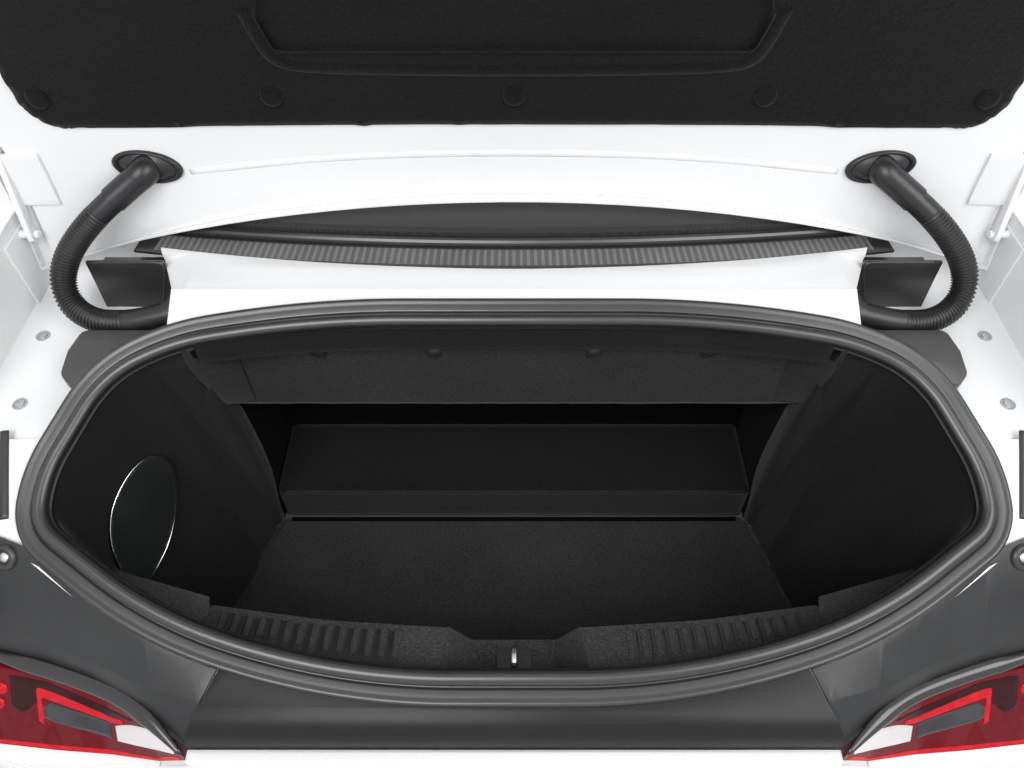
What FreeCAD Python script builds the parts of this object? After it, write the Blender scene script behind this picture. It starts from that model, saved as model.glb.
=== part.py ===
import FreeCAD, Part
import math
import os
from functools import lru_cache
from FreeCAD import Vector

# Boot section of a two-seat roadster: the luggage compartment with its lid, standing open.
# Sizes are millimetres. X is the car's width, Y points forward, Z is up. Places are measured
# from the middle of the boot mouth's rear edge, and save() moves every piece so that the
# origin is the middle of the bolt pattern on the front bulkhead.

# Mouth of the boot: a flat opening that rises forward
MOUTH_SLOPE = 24.0
MOUTH_CORNERS = [
    # x, along the slope, corner radius: the right half, from the rear to the front
    (220.0, 0.0, 1000.0),
    (462.0, 74.0, 640.0),
    (639.0, 198.0, 90.0),
    (639.0, 289.0, 200.0),
    (573.0, 440.0, 180.0),
    (468.0, 493.0, 320.0),
    (283.0, 526.0, 1500.0),
]
SEAL_WIDTH = 44.0
SEAL_BAND = 24.0
SEAL_BAND_HEIGHT = 8.0
SEAL_BULB_HEIGHT = 20.0
FLANGE_EDGE = 32.0
DECK_THICKNESS = 10.0

# Load space
LINER = 8.0
FIT = 0.4
TUB_WALL = 6.0
FLOOR_Z = -350.0
MAT = 10.0
FLOOR_CORNERS = [
    # x, y, corner radius: the right half, from the rear to the front, as many as the mouth has
    (180.0, 75.0, 300.0),
    (410.0, 84.0, 240.0),
    (500.0, 120.0, 60.0),
    (502.0, 250.0, 120.0),
    (470.0, 380.0, 150.0),
    (440.0, 472.0, 30.0),
    (200.0, 474.0, 300.0),
]
RECESS_HALF = 440.0
RECESS_REAR = 412.0
RECESS_FRONT = 630.0
RECESS_TOP = 165.0
STEP_REAR = 472.0
STEP_HEIGHT = 88.0
STEP_BOARD = 12.0
STEP_ROUNDING = 12.0

# Front bulkhead: two rails with the bolt holes that the section is mounted by
MOUNT_FACE = 700.0
MOUNT_Z = -120.0
BOLT_SPACING_X = 640.0
BOLT_SPACING_Z = 160.0
BOLT_HOLE_R = 6.5
RAIL_WIDTH = 70.0
RAIL_HEIGHT = 240.0
RAIL_WALL = 8.0

# Lid hinge
AXIS_Y = 605.0
AXIS_Z = 228.0
OPEN_ANGLE = 100.0
PIN_R = 6.0
PIN_FIT = 0.08

# Outer skin: sections across the car, from front to rear
SKIN_SECTIONS = [
    # y, height at the middle, drop at the shoulder, drop at the side
    (760.0, 258.0, 16.0, 70.0),
    (480.0, 260.0, 16.0, 74.0),
    (240.0, 188.0, 30.0, 66.0),
    (0.0, 82.0, 85.0, 50.0),
    (-90.0, 40.0, 100.0, 40.0),
]
SHOULDER_X = 720.0
SIDE_X = 905.0
SKIN_LOW = -240.0
SKIN = 4.0
UPPER_CORNERS = [
    # x, y, corner radius of the body above the lamps, seen from above: the right half
    (385.0, -54.0, 300.0),
    (700.0, 67.0, 300.0),
    (810.0, 124.0, 130.0),
    (905.0, 290.0, 260.0),
]
LOWER_CORNERS = [
    # x, y, corner radius of the bumper, seen from above: the right half
    (300.0, -62.0, 1500.0),
    (760.0, -16.0, 220.0),
    (905.0, 160.0, 240.0),
]
ARCH_Y = 620.0
ARCH_Z = -330.0
ARCH_R = 360.0

# Lid outline seen from above, when it is closed
LID_FRONT = 557.0
LID_FRONT_R = 2350.0
LID_HALF = 728.0
LID_REAR_HALF = 700.0
SHUT_GAP = 4.0
LID_DEPTH = 17.0
LID_PANEL = 4.0
LID_LOW = -36.0

# Tail lamps: sections from the inner tip outwards
LAMP_SECTIONS = [
    # x, y of the top edge, z of the top edge, y of the lower edge, z of the lower edge
    (402.0, -44.0, -48.0, -46.0, -56.0),
    (447.0, -14.0, -45.0, -38.0, -90.0),
    (520.0, 25.0, -44.0, -24.0, -113.0),
    (600.0, 50.0, -44.0, -16.0, -122.0),
    (690.0, 68.0, -44.0, -6.0, -126.0),
    (780.0, 112.0, -44.0, 24.0, -124.0),
    (850.0, 196.0, -45.0, 100.0, -118.0),
    (884.0, 250.0, -47.0, 190.0, -104.0),
]
LENS = 5.0
LAMP_DEPTH = 50.0

SHIFT = Vector(0, -MOUNT_FACE, -MOUNT_Z)
LOW = FLOOR_Z - MAT
MOUTH_INNER = -SEAL_WIDTH - 2.0
FAR = 1000.0


# Tools

def box_between(low, high):
    """A box from its lowest to its highest corner."""
    size = [top - bottom for bottom, top in zip(low, high)]
    return Part.makeBox(*size, Vector(*low))


def rounded_wire(corners, height=0.0):
    """A closed wire of lines and tangent arcs through corners given as x, y, radius."""
    count = len(corners)
    points = [Vector(x, y, height) for x, y, _ in corners]
    radii = [radius for _, _, radius in corners]
    starts, ends, middles = [], [], []
    for index in range(count):
        before, here, after = points[index - 1], points[index], points[(index + 1) % count]
        to_before = (before - here).normalize()
        to_after = (after - here).normalize()
        half_turn = (math.pi - to_before.getAngle(to_after)) / 2
        if radii[index] <= 0 or half_turn < 1e-6:
            starts.append(here)
            ends.append(here)
            middles.append(None)
            continue
        reach = radii[index] * math.tan(half_turn)
        starts.append(here + to_before * reach)
        ends.append(here + to_after * reach)
        inward = (to_before + to_after).normalize()
        middles.append(here + inward * radii[index] * (1 / math.cos(half_turn) - 1))
    edges = []
    for index in range(count):
        if middles[index] is not None:
            edges.append(Part.Arc(starts[index], middles[index], ends[index]).toShape())
        following = starts[(index + 1) % count]
        if (following - ends[index]).Length > 1e-4:
            edges.append(Part.makeLine(ends[index], following))
    return Part.Wire(edges)


def both_halves(corners):
    """The right half's corners, followed by their mirror images."""
    return corners + [(-x, y, radius) for x, y, radius in reversed(corners)]


def grown(corners, grow):
    """Corners of the outline that lies outside by grow, with its radii."""
    count = len(corners)
    result = []
    for index in range(count):
        before, here, after = corners[index - 1], corners[index], corners[(index + 1) % count]
        lines = []
        for start, end in ((before, here), (here, after)):
            dx, dy = end[0] - start[0], end[1] - start[1]
            length = math.hypot(dx, dy)
            normal = (dy / length, -dx / length)
            offset = normal[0] * start[0] + normal[1] * start[1] + grow
            lines.append((normal[0], normal[1], offset))
        (a, b, c), (d, e, f) = lines
        det = a * e - b * d
        if abs(det) < 1e-6:
            x, y = here[0] + a * grow, here[1] + b * grow
        else:
            x, y = (c * e - b * f) / det, (a * f - c * d) / det
        radius = here[2] + grow if det > 0 else here[2] - grow
        result.append((x, y, max(radius, 0.5)))
    return result


def prism(corners, low, high):
    """An upright block with a rounded outline, from the height low to the height high."""
    face = Part.Face(rounded_wire(corners, low))
    return face.extrude(Vector(0, 0, high - low))


def on_deck(shape):
    """Turns a piece drawn flat into the plane of the boot mouth."""
    shape.rotate(Vector(0, 0, 0), Vector(1, 0, 0), MOUTH_SLOPE)
    return shape


@lru_cache(maxsize=None)
def mouth_block(grow, low, high):
    """A block over the mouth's outline, grown outwards, between two heights over the mouth."""
    return on_deck(prism(grown(both_halves(MOUTH_CORNERS), grow), low, high))


def above_deck(height):
    """All the space over a plane parallel to the mouth."""
    return on_deck(box_between((-FAR, -FAR, height), (FAR, FAR, FAR)))


def mirrored(shape):
    """The piece's other hand."""
    return shape.mirror(Vector(0, 0, 0), Vector(1, 0, 0))


def opened(shape):
    """Turns a piece of the lid from closed to open."""
    shape = shape.copy()
    shape.rotate(Vector(0, AXIS_Y, AXIS_Z), Vector(1, 0, 0), -OPEN_ANGLE)
    return shape


def bar(start, end, radius):
    """A round bar from one point to another."""
    start, end = Vector(*start), Vector(*end)
    return Part.makeCylinder(radius, (end - start).Length, start, end - start)


def first_hit(shape, start, end):
    """The point where a line first meets a shape."""
    start = Vector(*start)
    inside = Part.makeLine(start, Vector(*end)).common(shape)
    return min((vertex.Point for vertex in inside.Vertexes), key=start.distanceToPoint)


def profile_x(points, low, high):
    """A side profile of y, z points, extruded across the car from one x to another."""
    points = [Vector(low, y, z) for y, z in points]
    face = Part.Face(Part.makePolygon(points + points[:1]))
    return face.extrude(Vector(high - low, 0, 0))


def profile_y(points, low, high):
    """A profile of x, z points, extruded along the car from one y to another."""
    points = [Vector(x, low, z) for x, z in points]
    face = Part.Face(Part.makePolygon(points + points[:1]))
    return face.extrude(Vector(0, high - low, 0))


def across(rows):
    """A ruled solid through sections across the car, each an x and a list of y, z points."""
    wires = []
    for x, points in rows:
        points = [Vector(x, y, z) for y, z in points]
        wires.append(Part.makePolygon(points + points[:1]))
    return Part.makeLoft(wires, True, True)


def save(name, shape):
    """Writes one piece as a STEP file in the section's own frame."""
    moved = shape.copy()
    moved.translate(SHIFT)
    if not moved.isValid():
        print("not valid:", name)
    print(name, "solids", len(moved.Solids), "volume", round(moved.Volume / 1000, 1), "cm3")
    moved.exportStep("parts/" + name + ".step")


def save_pair(name, right):
    """Writes a piece of the right side and its mirror image."""
    save(name + "_right", right)
    save(name + "_left", mirrored(right))


def save_both(name, right):
    """Writes a small piece and its mirror image as one node."""
    save(name, Part.makeCompound([right, mirrored(right)]))


# Load space: ruled walls between the mouth and the floor

@lru_cache(maxsize=None)
def space_block(mouth_grow, floor_grow):
    """A block with the load space's walls, from the mat's underside to the mouth."""
    top = rounded_wire(grown(both_halves(MOUTH_CORNERS), mouth_grow))
    top.rotate(Vector(0, 0, 0), Vector(1, 0, 0), MOUTH_SLOPE)
    floor = rounded_wire(grown(both_halves(FLOOR_CORNERS), floor_grow), LOW)
    return Part.makeLoft([floor, top], True, True)


@lru_cache(maxsize=None)
def walls_block(grow):
    """The load space under the mouth, its walls moved outwards."""
    return space_block(MOUTH_INNER + grow, grow)


def recess_block(grow, rear=RECESS_REAR):
    """The part of the load space that reaches forward under the deck."""
    low = (-RECESS_HALF - grow, rear, LOW)
    high = (RECESS_HALF + grow, RECESS_FRONT + grow, RECESS_TOP + grow)
    return box_between(low, high)


def make_tub():
    """The pressed outer tub."""
    inner_grow = LINER + FIT
    outer_grow = inner_grow + TUB_WALL
    bottom_low = LOW - TUB_WALL
    bottom = prism(grown(both_halves(FLOOR_CORNERS), outer_grow), bottom_low, LOW)
    front = box_between((-RECESS_HALF - outer_grow, RECESS_REAR, bottom_low),
                        (RECESS_HALF + outer_grow, RECESS_FRONT + outer_grow, RECESS_TOP + outer_grow))
    outer = walls_block(outer_grow).fuse([bottom, front])
    tub = outer.cut(walls_block(inner_grow).fuse(recess_block(inner_grow)))
    tub = tub.cut(above_deck(-DECK_THICKNESS))
    return tub


def make_rails():
    """Two open rails on the tub's front wall, with the bolt holes."""
    rails = []
    rail_rear = RECESS_FRONT + LINER + FIT + TUB_WALL
    low, high = MOUNT_Z - RAIL_HEIGHT / 2, MOUNT_Z + RAIL_HEIGHT / 2
    half = RAIL_WIDTH / 2
    for x in (-BOLT_SPACING_X / 2, BOLT_SPACING_X / 2):
        rail = box_between((x - half, rail_rear, low), (x + half, MOUNT_FACE, high))
        rail = rail.cut(box_between((x - half + RAIL_WALL, rail_rear - 1, low - 1),
                                    (x + half - RAIL_WALL, MOUNT_FACE - RAIL_WALL, high + 1)))
        for z in (MOUNT_Z - BOLT_SPACING_Z / 2, MOUNT_Z + BOLT_SPACING_Z / 2):
            rail = rail.cut(bar((x, MOUNT_FACE - RAIL_WALL - 2, z), (x, MOUNT_FACE + 2, z), BOLT_HOLE_R))
        rails.append(rail)
    save("mount_rails", Part.makeCompound(rails))


def make_liners():
    """Felt walls: two sides, the rear, the header over the flap and the forward recess."""
    wall = walls_block(LINER).cut(walls_block(0.0))
    wall = wall.cut(box_between((-RECESS_HALF, RECESS_REAR, LOW - 1), (RECESS_HALF, FAR, RECESS_TOP)))
    rear_split = SILL_HALF + FIT
    front_split = RECESS_HALF + LINER + FIT
    middle = 240.0
    rear_side = box_between((rear_split, -FAR, LOW), (FAR, middle, FAR))
    front_side = box_between((front_split, middle, LOW), (FAR, FAR, FAR))
    side = wall.common(rear_side.fuse(front_side))
    top = SILL_LEDGE_Z
    plan = [(SILL_HALF + FIT, 20.0, 0.5), (640.0, 60.0, 0.5), (640.0, 230.0, 0.5), (SILL_HALF + FIT, 146.0, 0.5)]
    side = side.fuse(prism(plan, top - 6.0, top).common(walls_block(0.0)))
    save_pair("side_liner", side)
    rear = wall.common(box_between((-rear_split + FIT, -FAR, LOW), (rear_split - FIT, middle, SILL_LOW)))
    save("rear_liner", rear)
    header_low = RECESS_TOP - 6.0
    header = walls_block(LINER).cut(walls_block(0.0))
    header = header.common(box_between((-front_split + FIT, middle, header_low), (front_split - FIT, FAR, FAR)))
    header = header.cut(recess_block(0.0))
    recess = recess_block(LINER).cut(recess_block(0.0, RECESS_REAR - 60.0))
    recess = recess.cut(walls_block(LINER)).cut(above_deck(-DECK_THICKNESS - FIT))
    save("recess_liner", header.fuse(recess))


def make_floor():
    """Floor mat and the hollow step board at its front."""
    mat = prism(grown(both_halves(FLOOR_CORNERS), -1.5), LOW, FLOOR_Z)
    save("floor_mat", mat.cut(box_between((-FAR, STEP_REAR, -FAR), (FAR, FAR, FAR))))
    top = FLOOR_Z + STEP_HEIGHT
    step_rear = STEP_REAR + FIT
    step_half = RECESS_HALF - 1.0
    step_front = RECESS_FRONT - FIT
    step = box_between((-step_half, step_rear, LOW), (step_half, step_front, top))
    lip = [edge for edge in step.Edges if edge.BoundBox.YMax < step_rear + 0.1 and edge.BoundBox.ZMin > top - 0.1]
    step = step.makeFillet(STEP_ROUNDING, lip)
    hollow = box_between((-step_half + STEP_BOARD, step_rear + STEP_BOARD, LOW - 1),
                         (step_half - STEP_BOARD, step_front - STEP_BOARD, top - STEP_BOARD))
    save("step_board", step.cut(hollow))


# Flap hung in front of the recess
FLAP_Y = 449.3
FLAP_THICKNESS = 4.0
FLAP_PIN_X = (-280.0, -115.0, 115.0, 280.0)
FLAP_PIN_Z = 139.0
FLAP_PIN_R = 11.5
FLAP_CORNERS = [
    # x, z of the right half, from the top down
    (462.0, 164.0),
    (478.0, 110.0),
    (472.0, 19.0),
]


def make_flap():
    """Felt flap and its four push pins."""
    points = FLAP_CORNERS + [(-x, z) for x, z in reversed(FLAP_CORNERS)]
    flap = profile_y(points, FLAP_Y, FLAP_Y + FLAP_THICKNESS)
    flap = flap.common(walls_block(-FIT).fuse(recess_block(-FIT)))
    save("front_flap", flap)
    pins = []
    for x in FLAP_PIN_X:
        head = bar((x, FLAP_Y, FLAP_PIN_Z), (x, FLAP_Y - 4.0, FLAP_PIN_Z), FLAP_PIN_R)
        edges = [edge for edge in head.Edges if edge.BoundBox.YMax < FLAP_Y - 3.9]
        pins.append(head.makeFillet(2.5, edges))
    save("flap_pins", Part.makeCompound(pins))


# Sill trim, ledges and striker
SILL_HALF = 412.0
SILL_LOW = -66.0
SILL_WALL = 4.0
SILL_LEDGE_Z = -26.0
SILL_CORNERS = [
    # x, y, corner radius: the right half, from the rear to the front
    (412.0, 20.0, 1.0),
    (412.0, 143.0, 8.0),
    (250.0, 118.0, 400.0),
    (100.0, 107.0, 60.0),
]
SILL_TOP = [
    # y, z of the upper surface
    (20.0, 0.0),
    (72.0, -8.0),
    (150.0, -30.0),
]
NOTCH_HALF = 97.0
NOTCH_LOW_HALF = 57.0
NOTCH_LOW = -60.0
RIB_COUNT = 14
RIB_PITCH = 18.0
RIB_FIRST = 150.0
RIB_WIDTH = 7.0
RIB_HEIGHT = 2.6
STRIKER_R = 4.0
STRIKER_Y = (60.0, 82.0)
STRIKER_TOP = -26.0


@lru_cache(maxsize=None)
def below_sill(drop):
    """The space under the sill's upper surface."""
    points = [(y, z - drop) for y, z in SILL_TOP]
    return profile_x(points + [(150.0, SILL_LOW), (20.0, SILL_LOW)], -FAR, FAR)


@lru_cache(maxsize=None)
def notch_block(grow):
    """The trough in the middle of the sill, where the striker stands."""
    slope = (NOTCH_HALF - NOTCH_LOW_HALF) / -NOTCH_LOW
    top_half = NOTCH_HALF + grow + slope * 20.0
    low = NOTCH_LOW - grow
    points = [(-NOTCH_LOW_HALF - grow, low), (NOTCH_LOW_HALF + grow, low), (top_half, 20.0), (-top_half, 20.0)]
    return profile_y(points, 0.0, 200.0)


def make_sill():
    """Ribbed sill trim over the rear wall, with its notch."""
    plan = prism(both_halves(SILL_CORNERS), -FAR, FAR)
    inner_plan = prism(grown(both_halves(SILL_CORNERS), -SILL_WALL), -FAR, FAR)
    bounds = walls_block(LINER)
    outer = plan.common(below_sill(0.0)).cut(notch_block(0.0)).common(bounds)
    hollow = inner_plan.common(below_sill(SILL_WALL)).cut(notch_block(SILL_WALL))
    sill = outer.cut(hollow.common(walls_block(LINER - SILL_WALL)))
    rib_plan = prism(grown(both_halves(SILL_CORNERS), -9.0), -FAR, FAR).common(walls_block(-14.0))
    ribs = below_sill(-RIB_HEIGHT).cut(below_sill(0.5)).common(rib_plan)
    rows = []
    for hand in (-1, 1):
        for index in range(RIB_COUNT):
            x = hand * (RIB_FIRST + index * RIB_PITCH)
            slot = box_between((x - RIB_WIDTH / 2, -FAR, -FAR), (x + RIB_WIDTH / 2, FAR, FAR))
            rows.append(ribs.common(slot))
    save("sill_trim", sill.fuse(rows))


def make_striker():
    """Wire bow and base plate that the lid's latch closes on."""
    rear, front = STRIKER_Y
    striker = box_between((-22.0, rear - 10.0, NOTCH_LOW), (22.0, front + 10.0, NOTCH_LOW + 3.0))
    for y in (rear, front):
        striker = striker.fuse(bar((0, y, NOTCH_LOW + 1.0), (0, y, STRIKER_TOP), STRIKER_R))
        striker = striker.fuse(Part.makeSphere(STRIKER_R, Vector(0, y, STRIKER_TOP)))
    striker = striker.fuse(bar((0, rear, STRIKER_TOP), (0, front, STRIKER_TOP), STRIKER_R))
    save("striker", striker)


# Oval cover on the left side liner
OVAL_Y = 283.0
OVAL_Z = -42.0
OVAL_HALF_LENGTH = 96.0
OVAL_HALF_WIDTH = 61.0
OVAL_TILT = 49.0
OVAL_THICKNESS = 5.0
OVAL_REACH = 60.0


def make_oval():
    """Oval cover of even thickness that follows the left side liner's curve."""
    space = walls_block(-FIT)
    places = [(OVAL_Y, OVAL_Z), (OVAL_Y, OVAL_Z + 80.0), (OVAL_Y + 60.0, OVAL_Z)]
    middle, upper, forward = [first_hit(space, (-FAR, y, z), (0, y, z)) for y, z in places]
    up = (upper - middle).normalize()
    inward = (forward - middle).cross(up).normalize()
    tilt = math.radians(OVAL_TILT)
    along = up * math.cos(tilt) + up.cross(inward) * math.sin(tilt)
    ellipse = Part.Ellipse(Vector(0, 0, -OVAL_REACH), OVAL_HALF_LENGTH, OVAL_HALF_WIDTH)
    oval = Part.Face(Part.Wire(ellipse.toShape())).extrude(Vector(0, 0, 2 * OVAL_REACH))
    turn = FreeCAD.Rotation(along, inward.cross(along), inward, "ZXY")
    oval.Placement = FreeCAD.Placement(middle, turn)
    oval = oval.common(walls_block(0.0)).common(space)
    save("oval_cover", oval.cut(walls_block(-FIT - OVAL_THICKNESS)))


# Deck frame, hinge pockets and the seals
DECK_CORNERS = [
    # x, along the slope, corner radius
    (225.0, -7.0, 970.0),
    (466.0, 67.0, 600.0),
    (646.0, 194.0, 30.0),
    (738.0, 214.0, 10.0),
    (738.0, 542.0, 1.0),
]
DECK_RIM = 1.0
POCKET_FLOOR = 130.0
POCKET_WALL = 5.0
POCKET_PLAN = [
    # x, y, corner radius of the right pocket, anticlockwise
    (476.0, 300.0, 0.0),
    (733.0, 300.0, 0.0),
    (733.0, 690.0, 0.0),
    (524.0, 690.0, 0.0),
    (524.0, 594.0, 0.0),
    (478.0, 494.0, 0.0),
]
STRIP_LOW = 190.0
STRIP_TOP = [
    # y, z of the painted strip in front of the mouth
    (440.0, 190.0),
    (482.0, 214.5),
    (502.0, 221.0),
    (540.0, 221.0),
    (600.0, 210.0),
    (660.0, 196.0),
]


@lru_cache(maxsize=None)
def pocket_space(grow, floor):
    """The open space of the right hinge pocket."""
    space = prism(grown(POCKET_PLAN, grow), floor, FAR)
    return space.cut(mouth_block(DECK_RIM - grow, -FAR, FAR))


def tonneau_block(profile):
    """A profile of y, z points, turned round the wide arc of the tonneau's rear edge."""
    tilt = math.radians(TONNEAU_TILT)
    normal = Vector(0, math.sin(tilt), math.cos(tilt))
    forward = Vector(0, math.cos(tilt), -math.sin(tilt))
    centre = Vector(0, TONNEAU_REAR, TONNEAU_Z) + forward * TONNEAU_R
    points = [Vector(0, y, z) for y, z in profile]
    face = Part.Face(Part.makePolygon(points + points[:1]))
    half = math.degrees(math.asin(TONNEAU_HALF / TONNEAU_R))
    face.rotate(centre, normal, -half)
    return face.revolve(centre, normal, 2 * half)


TONNEAU_REAR = 537.0
TONNEAU_Z = 220.0
TONNEAU_TILT = 21.0
TONNEAU_R = 2214.0
TONNEAU_HALF = 575.0
TONNEAU_FLANGE = [
    # y, z of the ribbed flange and its foot
    (537.0, 217.5),
    (570.0, 220.5),
    (572.0, 217.0),
    (590.0, 217.0),
    (590.0, 224.0),
    (570.0, 225.5),
    (537.0, 221.5),
]
TONNEAU_TUBE_Y = 587.0
TONNEAU_TUBE_Z = 227.0
TONNEAU_TUBE_R = 8.0
TONNEAU_SEAT = 212.4
TONNEAU_PANEL = [
    # y, z of the textile cover's rear edge
    (545.0, 212.7),
    (545.0, 216.7),
    (590.3, 216.7),
    (595.6, 220.0),
    (595.6, 237.5),
    (606.0, 239.0),
    (720.0, 231.0),
    (720.0, 212.7),
]


def make_deck():
    """Painted frame round the mouth, with the strip in front of it and the gutter walls."""
    deck = on_deck(prism(both_halves(DECK_CORNERS), -DECK_THICKNESS, 0.0))
    deck = deck.cut(mouth_block(-FLANGE_EDGE, -FAR, FAR))
    space = pocket_space(0.0, -FAR)
    deck = deck.cut(space).cut(mirrored(space))
    strip = profile_x(STRIP_TOP + [(660.0, STRIP_LOW)], -524.0, 524.0)
    strip = strip.cut(space).cut(mirrored(space)).cut(mouth_block(0.0, 0.0, FAR))
    strip = strip.cut(mouth_block(-FLANGE_EDGE, -FAR, FAR))
    rear = TONNEAU_REAR - 0.3
    edge = [(rear, TONNEAU_SEAT), (900.0, TONNEAU_SEAT), (900.0, 400.0), (rear, 400.0)]
    strip = strip.cut(tonneau_block(edge))
    slope = profile_y([(452.0, 222.5), (530.0, 196.0), (530.0, 260.0), (452.0, 260.0)], 470.0, 578.0)
    strip = strip.cut(slope).cut(mirrored(slope))
    gutter = box_between((LID_HALF + 5.0, 205.0, 60.0), (LID_HALF + 10.0, 300.0, FAR))
    gutter = gutter.common(body_block(SKIN + 0.3, UPPER_CORNERS)).common(above_deck(-DECK_THICKNESS))
    frame = deck.fuse([strip, gutter, mirrored(gutter)])
    beside = box_between((LID_HALF + 4.7, POCKET_PLAN[0][1] - POCKET_WALL - 0.3, -FAR), (FAR, FAR, FAR))
    save("deck_frame", frame.cut(beside).cut(mirrored(beside)))


def make_pockets():
    """Pans under the lid's front corners, which the hinges and covers stand in."""
    pan = prism(grown(POCKET_PLAN, POCKET_WALL), POCKET_FLOOR - POCKET_WALL, FAR)
    pan = pan.cut(mouth_block(0.0, -FAR, FAR)).cut(pocket_space(0.0, POCKET_FLOOR))
    pan = pan.common(body_block(SKIN + 0.3, UPPER_CORNERS))
    inner = box_between((0, -FAR, STRIP_LOW - 0.3), (LID_HALF, FAR, FAR))
    inner = inner.fuse(box_between((0, 600.0, STRIP_LOW - 6.0), (LID_HALF, FAR, FAR)))
    pan = pan.cut(inner).cut(above_deck(-DECK_THICKNESS - 0.3).common(box_between((0, 0, 0), (LID_HALF + 5.0, 560, FAR))))
    rear_cut = above_deck(-DECK_THICKNESS - 0.3).common(box_between((0, 0, 0), (FAR, POCKET_PLAN[0][1], FAR)))
    save_pair("hinge_pocket", pan.cut(rear_cut))


def make_seals():
    """Rubber seal round the mouth and the tonneau's rear seal."""
    band = mouth_block(0.0, 0.0, SEAL_BAND_HEIGHT).cut(mouth_block(-SEAL_BAND, -FAR, FAR))
    bulb = mouth_block(-SEAL_BAND + 1.0, 0.0, SEAL_BULB_HEIGHT).cut(mouth_block(-SEAL_WIDTH, -FAR, FAR))
    save("boot_seal", band.fuse(bulb).removeSplitter())
    flange = tonneau_block(TONNEAU_FLANGE)
    tube = []
    for index in range(12):
        angle = math.radians(index * 30.0)
        tube.append((TONNEAU_TUBE_Y + TONNEAU_TUBE_R * math.cos(angle), TONNEAU_TUBE_Z + TONNEAU_TUBE_R * math.sin(angle)))
    save("tonneau_seal", flange.fuse(tonneau_block(tube)))
    panel = tonneau_block(TONNEAU_PANEL)
    panel = panel.cut(box_between((-FAR, MOUNT_FACE, -FAR), (FAR, FAR, FAR)))
    save("tonneau_panel", panel)


# Satin panels behind the mouth
PANEL_SEAM = [
    # x, y of the seam between the centre panel and the right corner panel
    (330.0, 93.0),
    (414.0, -65.0),
]
CROSS_PROFILE = [
    # y, z of the centre panel's upper side
    (70.0, 34.5),
    (0.0, 3.5),
    (-14.0, -2.0),
    (-28.0, -16.0),
    (-34.0, -30.0),
    (-37.0, -41.5),
]
PANEL = 3.5
CORNER_SECTIONS = [
    # x, y and z beside the seal, y and z of the crease, y and z beside the lamp
    (325.0, 29.0, 19.0, -10.0, 4.0, -43.0, -42.0),
    (388.0, 44.0, 25.5, 6.0, 5.0, -41.0, -42.0),
    (450.0, 68.0, 36.5, 22.0, 2.0, -6.0, -41.0),
    (534.0, 116.0, 58.0, 58.0, 2.0, 36.0, -40.2),
    (600.0, 164.0, 79.5, 82.0, 6.0, 57.0, -40.0),
    (652.0, 182.0, 86.0, 100.0, 12.0, 68.0, -38.0),
    (722.0, 194.0, 91.5, 124.0, 34.0, 86.0, -26.0),
]


def make_rear_panels():
    """Dark satin panels between the mouth, the lamps and the bumper."""
    (x_front, y_front), (x_rear, y_rear) = PANEL_SEAM
    lower = [(y, z - PANEL) for y, z in reversed(CROSS_PROFILE)]
    cross = profile_x(CROSS_PROFILE + lower, -x_rear, x_rear)
    between = [(x_rear, y_rear, 0.0), (x_front, y_front, 0.0)]
    cross = cross.common(prism(both_halves(between), -FAR, FAR))
    save("rear_cross_panel", cross.cut(mouth_block(0.3, -FAR, FAR)).cut(deck_plate()))
    rows = []
    for x, y_seal, z_seal, y_crease, z_crease, y_lamp, z_lamp in CORNER_SECTIONS:
        upper = [(y_seal, z_seal), (y_crease, z_crease), (y_lamp, z_lamp)]
        under = [(y_lamp, z_lamp - PANEL), (y_crease, z_crease - PANEL), (y_seal, z_seal - PANEL)]
        rows.append((x, upper + under))
    gap = 1.5
    outside = [(x_rear + gap, y_rear, 0.0), (FAR, y_rear, 0.0), (FAR, FAR, 0.0), (x_front + gap, y_front, 0.0)]
    corner = across(rows).cut(mouth_block(0.3, -FAR, FAR)).cut(deck_plate())
    corner = corner.common(lid_plan(-SKIN - 6.0)).common(prism(outside, -FAR, FAR))
    solids = sorted(corner.Solids, key=lambda solid: solid.Volume)
    save_pair("corner_panel", solids[-1])


def deck_plate():
    """The deck frame's plate as one block, to seat panels against."""
    return on_deck(prism(both_halves(DECK_CORNERS), -DECK_THICKNESS, 0.2))


BUMP_X = 705.0
BUMP_Y = 222.0


def make_bump_stops():
    """Rubber stops under the lid's rear corners."""
    base = Vector(BUMP_X, BUMP_Y, BUMP_Y * math.tan(math.radians(MOUTH_SLOPE)))
    up = Vector(0, -math.sin(math.radians(MOUTH_SLOPE)), math.cos(math.radians(MOUTH_SLOPE)))
    foot = Part.makeCylinder(13.0, 6.0, base + up * 0.3, up)
    stop = foot.fuse(Part.makeCylinder(9.0, 14.0, base + up * 0.3, up))
    save_both("bump_stops", stop)


# Outer skin

def skin_section(y, middle, drop, side_drop, inset):
    """One section of the body across the car, inset from the outer surface."""
    shoulder = Vector(SHOULDER_X, y, middle - drop - inset)
    knee = Vector((SHOULDER_X + SIDE_X) / 2 + 30.0 - inset, y, middle - drop - side_drop * 0.36 - inset)
    side_top = Vector(SIDE_X - inset, y, middle - drop - side_drop * 1.4 - inset)
    low_right = Vector(SIDE_X - inset, y, SKIN_LOW)
    left_top = Vector(-side_top.x, y, side_top.z)
    low_left = Vector(-low_right.x, y, SKIN_LOW)
    shoulder_left = Vector(-SHOULDER_X, y, shoulder.z)
    crown = Part.Arc(shoulder_left, Vector(0, y, middle - inset), shoulder).toShape()
    right = Part.Arc(shoulder, knee, side_top).toShape()
    left = Part.Arc(left_top, Vector(-knee.x, y, knee.z), shoulder_left).toShape()
    sides = [Part.makeLine(side_top, low_right), Part.makeLine(low_right, low_left), Part.makeLine(low_left, left_top)]
    return Part.Wire([crown, right] + sides + [left])


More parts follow.
